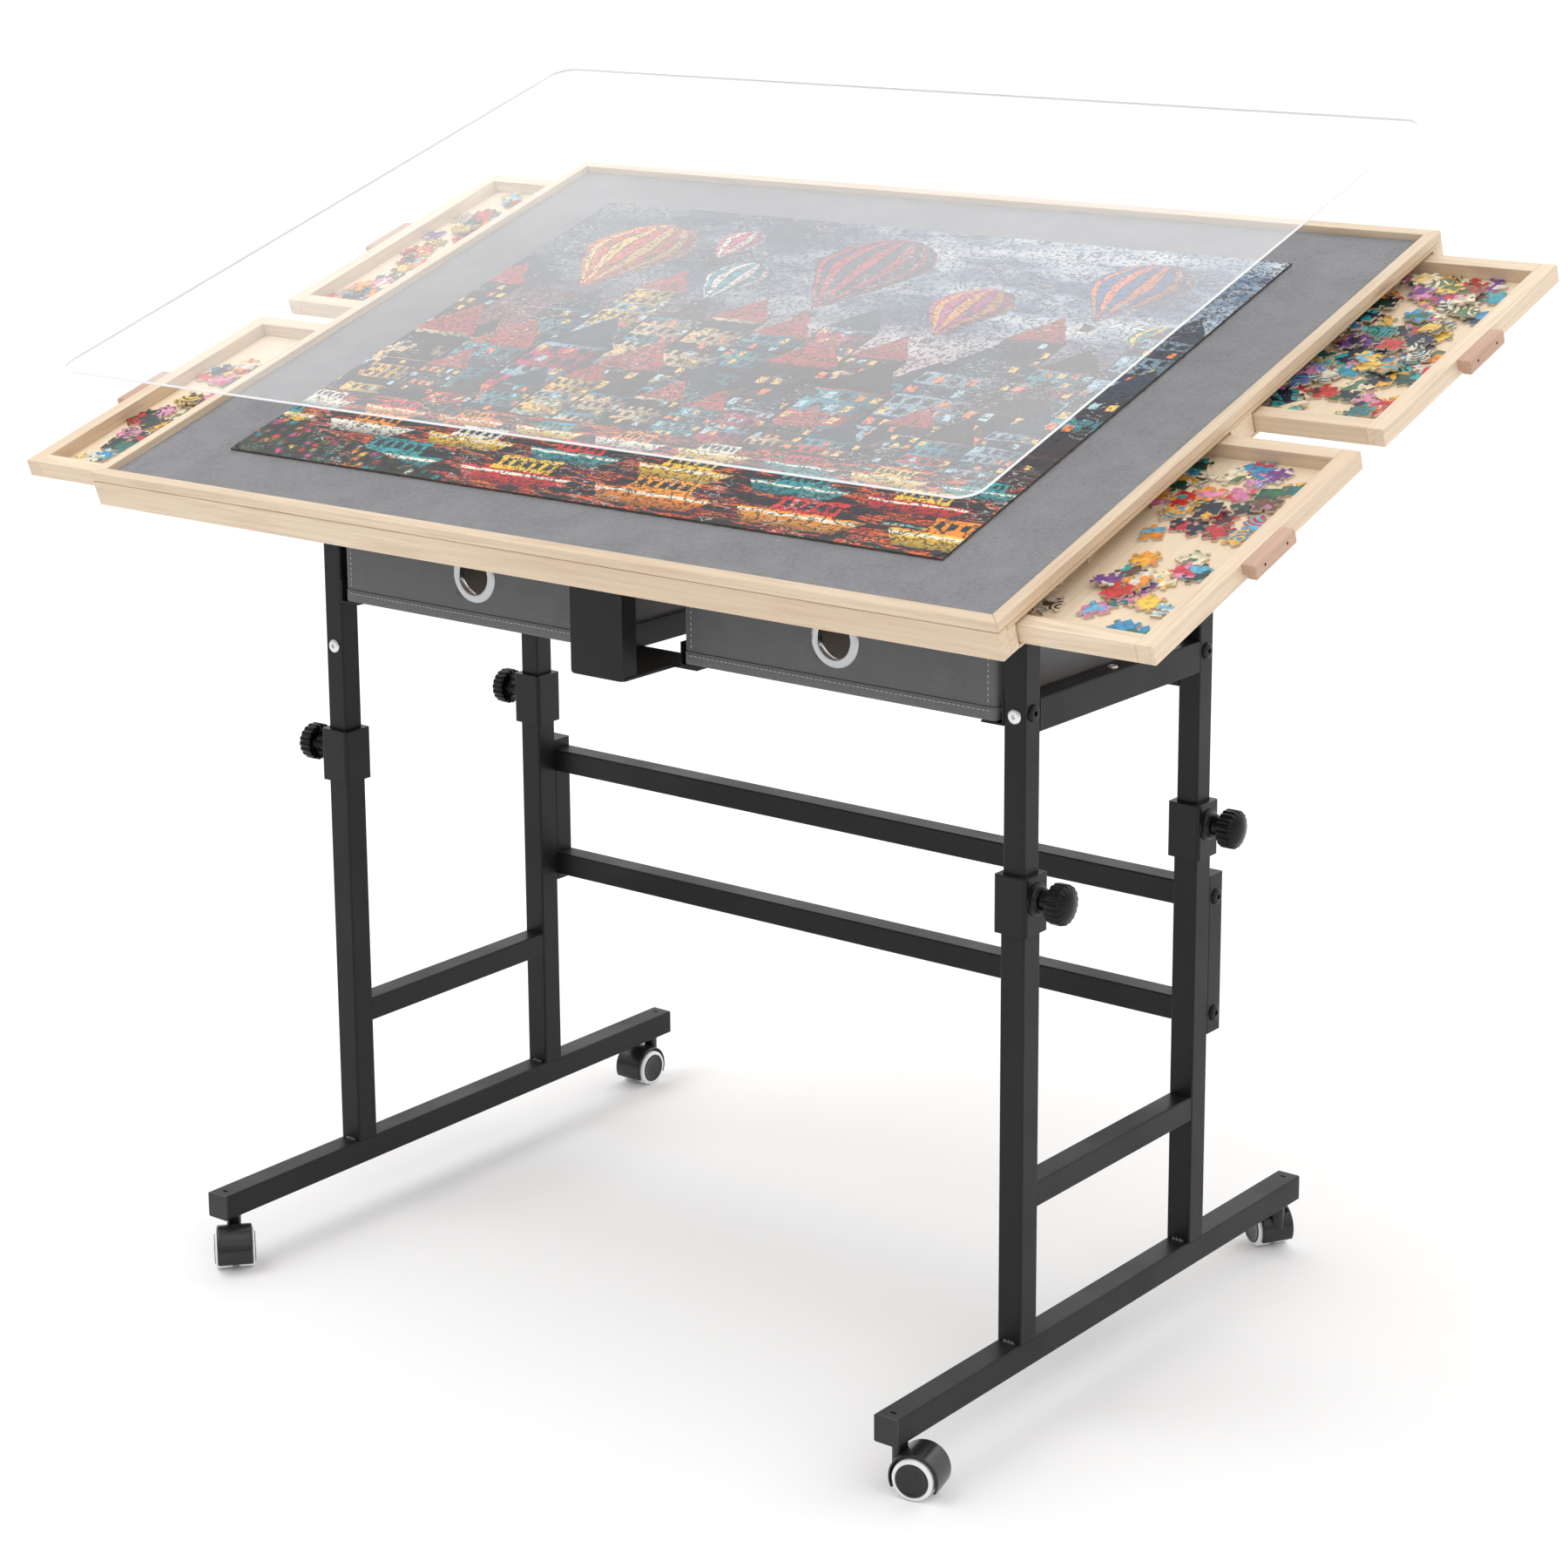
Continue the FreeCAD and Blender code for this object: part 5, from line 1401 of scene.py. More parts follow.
@dataclass
class WoodenBoard:
    """The board's mitred rim, rails, stops, felt and panels, in the board's own frame."""

    width: float = 884.0
    depth: float = 632.5
    rim: float = 10.0
    rim_base: float = -7.8
    panel_base: float = -10.8
    base: float = -29.5
    base_top: float = -27.2
    front_rail: float = 19.5
    centre_rail: float = 30.0
    rear_rail: float = 15.0
    slit: float = 0.3
    stop_outer: float = 180.5
    stop_width: float = 20.0
    felt_gap: float = 0.1
    felt_low: float = -7.8
    felt_high: float = BED_HEIGHT

    def bays(self) -> dict[str, Pair]:
        """Front and back of the two rows of trays."""
        bay = (self.depth - self.front_rail - self.centre_rail - self.rear_rail) / 2
        rear = self.front_rail + bay + self.centre_rail
        return {"front": (self.front_rail, self.front_rail + bay), "rear": (rear, rear + bay)}

    def build(self) -> None:
        """Makes the wooden pieces and the felt, and dresses the panels."""
        dress_node("top_panel", PANEL)
        dress_node("bottom_panel", PANEL)
        for name, strips, seed, bevel, node in (
            ("rim_strips", self.rim_strips(), 11, 0.7, "rim"),
            ("board_rails", self.rails(), 12, 0.8, "wood_rails"),
            ("stop_battens", self.stops(), 13, 0.4, "drawer_stops"),
        ):
            settle(wooden_piece(name, strips, seed, bevel), "board", "pine", node, PINE)
        settle(make_piece("felt_sheet", self.felt(), 50, True), "board", "felt_grey", "felt", FELT)

    def rim_strips(self) -> list[Strip]:
        """Four strips, mitred at the corners."""
        w, d, r = self.width / 2, self.depth, self.rim
        low, high = self.rim_base, 0.0
        return [
            Strip([(-w, 0), (w, 0), (w - r, r), (-w + r, r)], low, high, 0, (12, -40)),
            Strip([(w, d), (-w, d), (-w + r, d - r), (w - r, d - r)], low, high, 0, (-9, -35)),
            Strip([(-w, d), (-w, 0), (-w + r, r), (-w + r, d - r)], low, high, 1, (15, -46)),
            Strip([(w, 0), (w, d), (w - r, d - r), (w - r, r)], low, high, 1, (-14, -38)),
        ]

    def rails(self) -> list[Strip]:
        """Front, centre and rear rails, with a slit as fine as a hair between the outer ones and the rim."""
        ends, d, r = (-self.width / 2, self.width / 2), self.depth, self.rim
        centre = (self.bays()["front"][1], self.bays()["rear"][0])
        outer, inner = (self.base, self.rim_base - self.slit), (self.base, self.panel_base)
        return [
            plank(ends, (0, r), outer, 0, (25, -70)),
            plank(ends, (r, self.front_rail), inner, 0, (32, -60)),
            plank(ends, centre, (self.base_top, self.panel_base), 0, (-20, -60)),
            plank(ends, (d - self.rear_rail, d - r), inner, 0, (18, -66)),
            plank(ends, (d - r, d), outer, 0, (18, -48)),
        ]

    def stops(self) -> list[Strip]:
        """Battens inside the board that stop the trays."""
        heights = (self.base_top, self.panel_base)
        inner = self.stop_outer - self.stop_width
        return [
            plank((side * inner, side * self.stop_outer), bay, heights, 1, (20, -50))
            for bay in self.bays().values()
            for side in (-1, 1)
        ]

    def felt(self) -> Shape:
        """A closed sheet of felt whose top lies a little unevenly, by up to 0.12 mm.

        The top's height at (x, d) = top - 0.06 (1 + sin 0.023x cos 0.017d), and it sinks by 0.25
        over the last 3 mm to the rim.

        Returns:
            The sheet, in the board's frame.
        """
        half = self.width / 2 - self.rim - self.felt_gap
        lo, hi = self.rim + self.felt_gap, self.depth - self.rim - self.felt_gap
        margin = np.array([0, 1.2, 3])
        xs = np.concatenate([-half + margin, np.linspace(-half + 8, half - 8, 90), (half - margin)[::-1]])
        ds = np.concatenate([lo + margin, np.linspace(lo + 8, hi - 8, 66), (hi - margin)[::-1]])
        x, d = np.meshgrid(xs, ds, indexing="ij")
        edge = np.minimum(np.minimum(x + half, half - x), np.minimum(d - lo, hi - d))
        top = self.felt_high - 0.06 * (1 + np.sin(0.023 * x) * np.cos(0.017 * d))
        top -= 0.25 * np.clip(1 - edge / 3, 0, 1) ** 2
        upper = np.stack([x, d, top], -1).reshape(-1, 3)
        lower = np.stack([x, d, np.full_like(top, self.felt_low)], -1).reshape(-1, 3)
        index = np.arange(x.size).reshape(x.shape)
        ring = np.concatenate([index[:, 0], index[-1, 1:], index[-2::-1, -1], index[0, -2:0:-1]])
        quads = grid_quads(*x.shape, wrap=False)
        return np.concatenate([upper, lower]), [quads, quads + x.size, wall_faces(ring, x.size)]


BOARD_SIZES = WoodenBoard()


@dataclass
class SortingTray:
    """A shallow wooden tray with a plywood floor and a stained pull at its outer end."""

    reach: float = 260.0
    pulled: float = 106.0
    wall: float = 14.0
    play: float = 1.5
    low: float = -26.9
    high: float = -12.9
    floor_top: float = -23.9
    handle_long: float = 54.0
    handle_proud: float = 11.0
    nose: float = 2.2
    lip: float = 1.2
    cove: float = 3.0
    nail_radius: float = 1.1
    nail_spread: float = 15.0
    arris: float = 0.55
    first_seed: int = 20

    def outer(self) -> float:
        """How far a tray's outer end lies from the table's middle."""
        return BOARD_SIZES.width / 2 + self.pulled

    def tray(self, name: str, side: int, bay: Pair, seed: int) -> Piece:
        """Four walls between which the floor is let in.

        Args:
            name: The tray's name.
            side: -1 for the left and 1 for the right.
            bay: Front and back of the tray's bay.
            seed: Sets where each strip was cut from its plank.

        Returns:
            The tray.
        """
        wall, outer, heights = self.wall, side * self.outer(), (self.low, self.high)
        inner = side * (self.outer() - self.reach)
        inside = (inner + side * wall, outer - side * wall)
        front, back = bay[0] + self.play, bay[1] - self.play
        strips = [
            plank((outer - side * wall, outer), (front, back), heights, 1, (22, -45)),
            plank((inner, inner + side * wall), (front, back), heights, 1, (-18, -52)),
            plank(inside, (front, front + wall), heights, 0, (16, -38)),
            plank(inside, (back - wall, back), heights, 0, (-21, -55)),
            plank(inside, (front + wall, back - wall), (self.low, self.floor_top), 1, (60, -30)),
        ]
        kinds = np.repeat([0, 0, 0, 0, 1], len(BLOCK_FACES))
        return wooden_piece(name, strips, seed, self.arris, kinds)

    def handle(self, name: str, side: int, middle: float, seed: int) -> Piece:
        """A pull: a profile with a finger cove under its lip, carried along the depth.

        The profile is a polygon with rounded corners; ring j lies at depth d_j and pulls in by up to
        7 % over the last 0.9 mm at each end.

        Args:
            name: The pull's name.
            side: -1 for the left and 1 for the right.
            middle: Depth of its middle.
            seed: Sets where it was cut from its plank.

        Returns:
            The pull.
        """
        foot, top, nose, lip, cove = self.floor_top, self.high, self.nose, self.lip, self.cove
        turn = np.linspace(0, np.pi / 2, 7)
        c, s, proud = np.cos(turn), np.sin(turn), self.handle_proud
        outline = np.concatenate([
            [(0.0, top)],
            np.column_stack([proud - nose + nose * s, top - nose + nose * c]),
            np.column_stack([proud - lip + lip * c, foot + lip - lip * s]),
            np.column_stack([cove * 1.6 - cove * s + 0.6, foot + cove * (1 - c)]),
            [(0.0, foot + cove)],
        ])
        centre, half = outline.mean(0), self.handle_long / 2
        ends = np.array([half, half - 0.35, half - 0.9])
        depths = np.concatenate([-ends, ends[::-1]])
        pull_in = np.array([0.93, 0.985, 1.0, 1.0, 0.985, 0.93])
        flat = centre + (outline - centre) * pull_in[:, None, None]
        flat[..., 0] = np.maximum(flat[..., 0], 0.0)
        flat[:, [0, -1], 0] = 0.0
        depth = np.broadcast_to(depths[:, None], flat.shape[:2]) + middle
        points = np.stack([side * (self.outer() + flat[..., 0]), depth, flat[..., 1]], -1).reshape(-1, 3)
        across = points[:, 0] - side * self.outer() + 12
        grain = MM * np.stack([depth.ravel() + 400 * seed, across, points[:, 2] - 18], -1)
        shape = points, tube_faces(len(depths), len(outline))
        return make_piece(name, shape, 45, True, grain_at=grain)

    def nails(self, name: str, side: int, middle: float) -> Piece:
        """Two round nail heads in the pull's face, domed by 0.4 mm.

        Args:
            name: The piece's name.
            side: -1 for the left and 1 for the right.
            middle: Depth of the pull's middle.

        Returns:
            The nails.
        """
        r, height = self.nail_radius, (self.high + self.floor_top) / 2 + 0.5
        knots = [(-1.5, HAIR), (-1.5, r), (0.1, r), (0.3, r * 0.8), (0.4, r * 0.4), (0.42, HAIR)]
        points, faces = lathe(knots, 16)
        points = points * np.array([side, 1, 1])
        shapes = []
        for spot in (-self.nail_spread, self.nail_spread):
            place = np.array([side * (self.outer() + self.handle_proud), middle + spot, height])
            shapes.append((points + place, faces))
        return make_piece(name, join_shapes(shapes), 50, True)

    def build(self) -> None:
        """Makes the four trays, each with its pull."""
        seed = self.first_seed
        for row, bay in BOARD_SIZES.bays().items():
            for name, side in SIDES.items():
                where, middle = row + "_" + name, (bay[0] + bay[1]) / 2
                body = "tray_" + where
                tray = self.tray("sorting_tray_" + where, side, bay, seed)
                settle(tray, body, "pine", body, PINE, TRAY_FLOOR)
                pull = self.handle("pull_" + where, side, middle, seed)
                settle(pull, body, "handle_wood", "handle_" + where, STAINED_PINE)
                settle(self.nails("pull_nails_" + where, side, middle), body, "black_bolt", "", BLACK_BOLT)
                seed += 1


# ---------- fabric drawers


@dataclass
class FabricDrawer:
    """A stiff non-woven box with a turned hem, a bound top edge, stitches and a metal eyelet."""

    inner_x: float = 35.5
    outer_x: float = 327.5
    front: float = -128.0
    depth: float = 228.0
    base: float = 536.3
    height: float = 68.7
    wall: float = 3.5
    corner: float = 4.0
    hem: float = 11.0
    binding: float = 5.0
    proud: float = 0.5
    bulge: float = 0.9
    eye_height: float = 40.7
    hole: float = 16.2
    stitch: float = 3.1
    stitch_pitch: float = 4.3
    stitch_radius: float = 0.5

    def half(self) -> Pair:
        """Half the box's width and depth."""
        return (self.outer_x - self.inner_x) / 2, self.depth / 2

    def foot(self, side: int) -> Array:
        """The middle of the box in plan, at its base."""
        return np.array([side * (self.inner_x + self.outer_x) / 2, self.front + self.depth / 2, self.base])

    def swell(self, points: Array) -> Array:
        """How far the walls stand out: bulge (sin pi u)^0.7 (cos pi v / 2)^0.6, u up and v along a wall.

        Args:
            points: Rows of x and y from the box's middle and z over its base.

        Returns:
            The points' shifts.
        """
        half_x, half_y = self.half()
        x, y, z = points.T
        up = self.bulge * np.sin(np.pi * np.clip(z / self.height, 0, 1)) ** 0.7
        along_x = np.cos(np.pi / 2 * np.clip(x / half_x, -1, 1)) ** 0.6
        along_y = np.cos(np.pi / 2 * np.clip(y / half_y, -1, 1)) ** 0.6
        return np.column_stack([up * along_y * x / half_x, up * along_x * y / half_y, 0 * z])

    def shell(self, name: str, side: int) -> Piece:
        """The box: rings of a rounded rectangle up the outside, over the edge and down the inside.

        Ring i is the rectangle drawn in by o_i at height z_i, pushed out by the walls' swell; the
        hem and the binding stand 0.5 mm proud of the wall between them.

        Args:
            name: The piece's name.
            side: -1 for the left and 1 for the right.

        Returns:
            The box with the eyelet's hole.
        """
        w, h, proud, hem = self.wall, self.height, self.proud, self.hem
        rows = [
            (1.6, 0.0), (0.5, 0.35), (0.0, 1.4), (0.0, hem - 0.6), (1.2, hem - 0.1), (1.2, hem + 0.2),
            (proud, hem + 0.6), (proud, hem + 3), (proud, 0.3 * h), (proud, 0.42 * h), (proud, 0.54 * h),
            (proud, 0.66 * h), (proud, 0.78 * h), (proud, h - self.binding - 0.3), (0.1, h - self.binding),
            (0.0, h - 1.4), (0.6, h - 0.3), (w / 2, h), (w - 0.6, h - 0.3), (w, h - 1.4), (w, 0.7 * h),
            (w, 0.45 * h), (w, 0.2 * h), (w, w + 1.5), (w + 0.4, w + 0.4), (w + 1.5, w),
        ]
        half_x, half_y = self.half()
        rings = []
        for inset, z in rows:
            flat = rounded_ring(half_x - inset, half_y - inset, max(self.corner - inset, 0.8), 26, 5)
            ring = np.column_stack([flat, np.full(len(flat), z)])
            rings.append(ring + self.swell(ring))
        points = np.concatenate(rings) + self.foot(side)
        piece = make_piece(name, (points, tube_faces(len(rows), len(rings[0]))), 40)
        self.punch(piece, side)
        return piece

    def punch(self, piece: Piece, side: int) -> None:
        """Cuts the eyelet's hole through the front wall, and makes the result the piece's own mesh."""
        points, faces = lathe([(-8, HAIR), (-8, self.hole), (8, self.hole), (8, HAIR)], 48)
        eye = np.array([self.foot(side)[0], self.front, self.base + self.eye_height])
        punch = make_piece("punch", (points[:, [1, 0, 2]] + eye, faces))
        cut = piece.modifiers.new("hole", "BOOLEAN")
        cut.operation = "DIFFERENCE"
        cut.object = punch
        cut.solver = "EXACT"
        bpy.context.view_layer.update()
        done = piece.evaluated_get(bpy.context.evaluated_depsgraph_get())
        result = bpy.data.meshes.new_from_object(done)
        piece.modifiers.clear()
        piece.data = result
        bpy.data.objects.remove(punch)

    def stitches(self, name: str, side: int) -> Piece:
        """Rows of thread along the hem, down the front's outer edges and under the binding.

        Args:
            name: The piece's name.
            side: -1 for the left and 1 for the right.

        Returns:
            The stitches.
        """
        x, y = self.half()
        low, high = self.hem - 3.2, self.height - self.binding + 1.6
        runs = []
        for z in (low, high):
            for end in (-1, 1):
                runs.append(((-x + 5, end * y, z), (x - 5, end * y, z)))
            for end in (-1, 1):
                runs.append(((end * x, -y + 5, z), (end * x, y - 5, z)))
        for edge in (7.5 - x, x - 7.5):
            runs.append(((edge, -y, self.hem + 2), (edge, -y, self.height - self.binding - 2)))
        points, faces = join_shapes([self.seam(np.array(a), np.array(b)) for a, b in runs])
        return make_piece(name, (points + self.foot(side), faces), 60)

    def seam(self, start: Array, end: Array) -> Shape:
        """One row of stitches on a wall, each a short rod of six sides whose ends dip into the cloth.

        Args:
            start: Where the row starts, from the box's foot.
            end: Where it ends.

        Returns:
            The row.
        """
        length = np.linalg.norm(end - start)
        count = int(length / self.stitch_pitch)
        along = (end - start) / length
        across = np.array([0, 0, 1.0]) if abs(along[2]) < 0.5 else np.array([1.0, 0, 0])
        face = 1 if abs(start[1]) == self.depth / 2 else 0
        out = np.zeros(3)
        out[face] = np.sign(start[face])
        t = np.array([-0.5, -0.38, -0.15, 0.15, 0.38, 0.5])
        lift = np.array([-0.5, 0.1, 0.28, 0.28, 0.1, -0.5])[:, None, None] * out
        radius = self.stitch_radius * np.array([0.5, 0.85, 1, 1, 0.85, 0.5])[:, None, None]
        turn = circle(6)[:, None]
        ring = np.cos(turn) * across + np.sin(turn) * out
        one = along * (t * self.stitch)[:, None, None] + radius * ring + lift
        centres = start + along * ((np.arange(count) + 0.5) * length / count)[:, None]
        on_wall = (centres[:, 2] > self.hem) & (centres[:, 2] < self.height - self.binding)
        centres = centres + self.swell(centres) - self.proud * on_wall[:, None] * out
        points = centres[:, None, None, :] + one
        return points.reshape(-1, 3), repeat_faces(tube_faces(len(t), 6), count, len(t) * 6)

    def eyelet(self, name: str, grommet: str) -> Piece:
        """A pressed metal ring through the front wall, with a domed flange inside and out.

        Its section is a closed outline of radius and depth, carried round the hole's axis.

        Args:
            name: The piece's name.
            grommet: The CAD node whose place it takes.

        Returns:
            The ring.
        """
        section = np.array([
            (15.0, -1.0), (15.25, -1.55), (16.2, -1.8), (18.5, -1.75), (21.2, -1.1), (22.3, -0.35),
            (22.5, 0.3), (21.6, 0.05), (16.2, 0.0), (16.2, 3.5), (21.6, 3.5), (22.5, 3.3), (22.3, 3.85),
            (21.2, 4.6), (18.5, 5.2), (16.2, 5.25), (15.25, 5.0), (15.0, 4.4),
        ])
        low, high = node_box(grommet)
        radius, depth = section.T[..., None]
        depth = (depth - depth.min()) * (high[1] - low[1]) / np.ptp(depth) + low[1]
        turn = circle(64)
        x, z = (low[0] + high[0]) / 2, (low[2] + high[2]) / 2
        points = np.stack([x + radius * np.cos(turn), depth + 0 * turn, z + radius * np.sin(turn)], -1)
        quads = grid_quads(len(section) + 1, 64) % (len(section) * 64)
        return make_piece(name, (points.reshape(-1, 3), [quads]), 50)

    def build(self) -> None:
        """Makes both drawers."""
        for name, side in SIDES.items():
            body, grommet = "fabric_drawer_" + name, "grommet_" + name
            settle(self.shell("fabric_box_" + name, side), body, "grey_fabric", body, NON_WOVEN)
            settle(self.stitches("box_stitches_" + name, side), body, "grey_fabric", "", THREAD)
            settle(self.eyelet("eyelet_" + name, grommet), body, "grommet_chrome", grommet, CHROME)


# ---------- jigsaw pieces


TAB = np.array([
    (0.39, -0.01), (0.435, 0.06), (0.375, 0.15), (0.41, 0.225), (0.5, 0.25), (0.59, 0.225), (0.625, 0.15),
    (0.565, 0.06), (0.61, -0.01),
])
LOOSE_TAB = np.array([
    (0.42, 0.0), (0.44, 0.06), (0.36, 0.15), (0.42, 0.25), (0.58, 0.25), (0.64, 0.15), (0.56, 0.06),
    (0.58, 0.0),
])


def cut_edges(start: Array, end: Array, tab: Array, sign: Array, rng: np.random.Generator) -> Array:
    """Jigsaw cuts from start to end points, each with one tab.

    Point k = start + t_k (end - start) + s o_k times the line turned by a right angle, where t_k is
    shifted by up to 0.05 for the whole tab.

    Args:
        start: Start points, of shape (..., 2).
        end: End points.
        tab: Rows of t and o for one tab.
        sign: +1 or -1 for the side of each tab, and 0 for a straight edge.
        rng: Source of the tabs' shifts.

    Returns:
        Points of shape (..., len(tab) + 2, 2), with both ends.
    """
    shift = rng.uniform(-0.05, 0.05, sign.shape)
    line = (end - start)[..., None, :]
    across = np.stack([-line[..., 1], line[..., 0]], -1)
    t = (tab[:, 0] + shift[..., None])[..., None]
    o = (tab[:, 1] * sign[..., None])[..., None]
    inner = start[..., None, :] + t * line + o * across
    return np.concatenate([start[..., None, :], inner, end[..., None, :]], -2)


def card_pieces(name: str, flat: Array, low: Array, high: Array, print_at: Array) -> Piece:
    """Makes one mesh of many flat pieces of card, whose tops are face kind 0 and the rest kind 1.

    Args:
        name: The piece's name.
        flat: Outlines in the board's plan, of shape (pieces, points, 2).
        low: Height of each point below, of shape (pieces, points).
        high: Height of each point above.
        print_at: Each point's place on the print, of shape (pieces, points, 3).

    Returns:
        The piece, with print_at as an attribute.
    """
    count, size = low.shape
    layers = [np.concatenate([flat, height[..., None]], -1) for height in (low, high)]
    points = np.concatenate(layers, 1).reshape(-1, 3)
    shape = points, repeat_faces(slab_faces(size), count, 2 * size)
    kinds = np.repeat([0, 1], [count, count * (size + 1)])
    page = np.concatenate([print_at, print_at], 1).reshape(-1, 3)
    return make_piece(name, shape, 35, True, kinds, print_at=page)


@dataclass
class FinishedPuzzle:
    """The finished jigsaw on the felt: a thousand interlocking pieces of printed card."""

    width: float = 702.0
    depth: float = 490.0
    left: float = -354.0
    front: float = 72.0
    low: float = BED_HEIGHT
    high: float = -3.8
    columns: int = 40
    rows: int = 25
    jitter: float = 1.3
    gap: float = 0.13
    sink: float = 0.12
    seed: int = 7

    def corners(self, rng: np.random.Generator) -> Array:
        """Corners of the cuts: an even grid, each inner point moved by under a tenth of a cell."""
        across = np.linspace(0, self.width, self.columns + 1)
        x, y = np.meshgrid(across, np.linspace(0, self.depth, self.rows + 1))
        moved = rng.uniform(-self.jitter, self.jitter, (*x.shape, 2))
        moved[[0, -1], :, 1] = 0
        moved[:, [0, -1], 0] = 0
        moved[[0, 0, -1, -1], [0, -1, 0, -1]] = 0
        return np.stack([x, y], -1) + moved

    def outlines(self) -> Array:
        """Every piece's outline on the picture, drawn in by the gap across its neighbours' line.

        Returns:
            Points of shape (pieces, points, 2), counter-clockwise.
        """
        rng = np.random.default_rng(self.seed)
        at = self.corners(rng)
        along_sign = rng.choice([-1.0, 1.0], (self.rows + 1, self.columns))
        along_sign[[0, -1]] = 0
        up_sign = rng.choice([-1.0, 1.0], (self.rows, self.columns + 1))
        up_sign[:, [0, -1]] = 0
        along = cut_edges(at[:, :-1], at[:, 1:], TAB, along_sign, rng)
        up = cut_edges(at[:-1], at[1:], TAB, up_sign, rng)
        forward = [cut[..., :-1, :] for cut in (along[:-1], up[:, 1:])]
        backward = [cut[..., :0:-1, :] for cut in (along[1:], up[:, :-1])]
        outline = np.concatenate([*forward, *backward], -2)
        line = np.roll(outline, -1, -2) - np.roll(outline, 1, -2)
        normal = np.stack([-line[..., 1], line[..., 0]], -1)
        drawn = outline + self.gap * normal / np.linalg.norm(normal, axis=-1, keepdims=True)
        return drawn.reshape(self.rows * self.columns, -1, 2)

    def build(self) -> None:
        """Makes the puzzle as one mesh of separate pieces, each a little higher or lower."""
        outline = self.outlines()
        level = np.zeros(outline.shape[:2])
        lift = np.random.default_rng(self.seed + 1).uniform(-self.sink, 0.0, len(outline))[:, None]
        flat = outline + np.array([self.left, self.front])
        print_at = MM * np.concatenate([outline, level[..., None]], -1)
        piece = card_pieces("finished_puzzle", flat, level + self.low, level + self.high + lift, print_at)
        settle(piece, "board", "puzzle_card", "puzzle", PRINTED_CARD, FLAT_CARD)


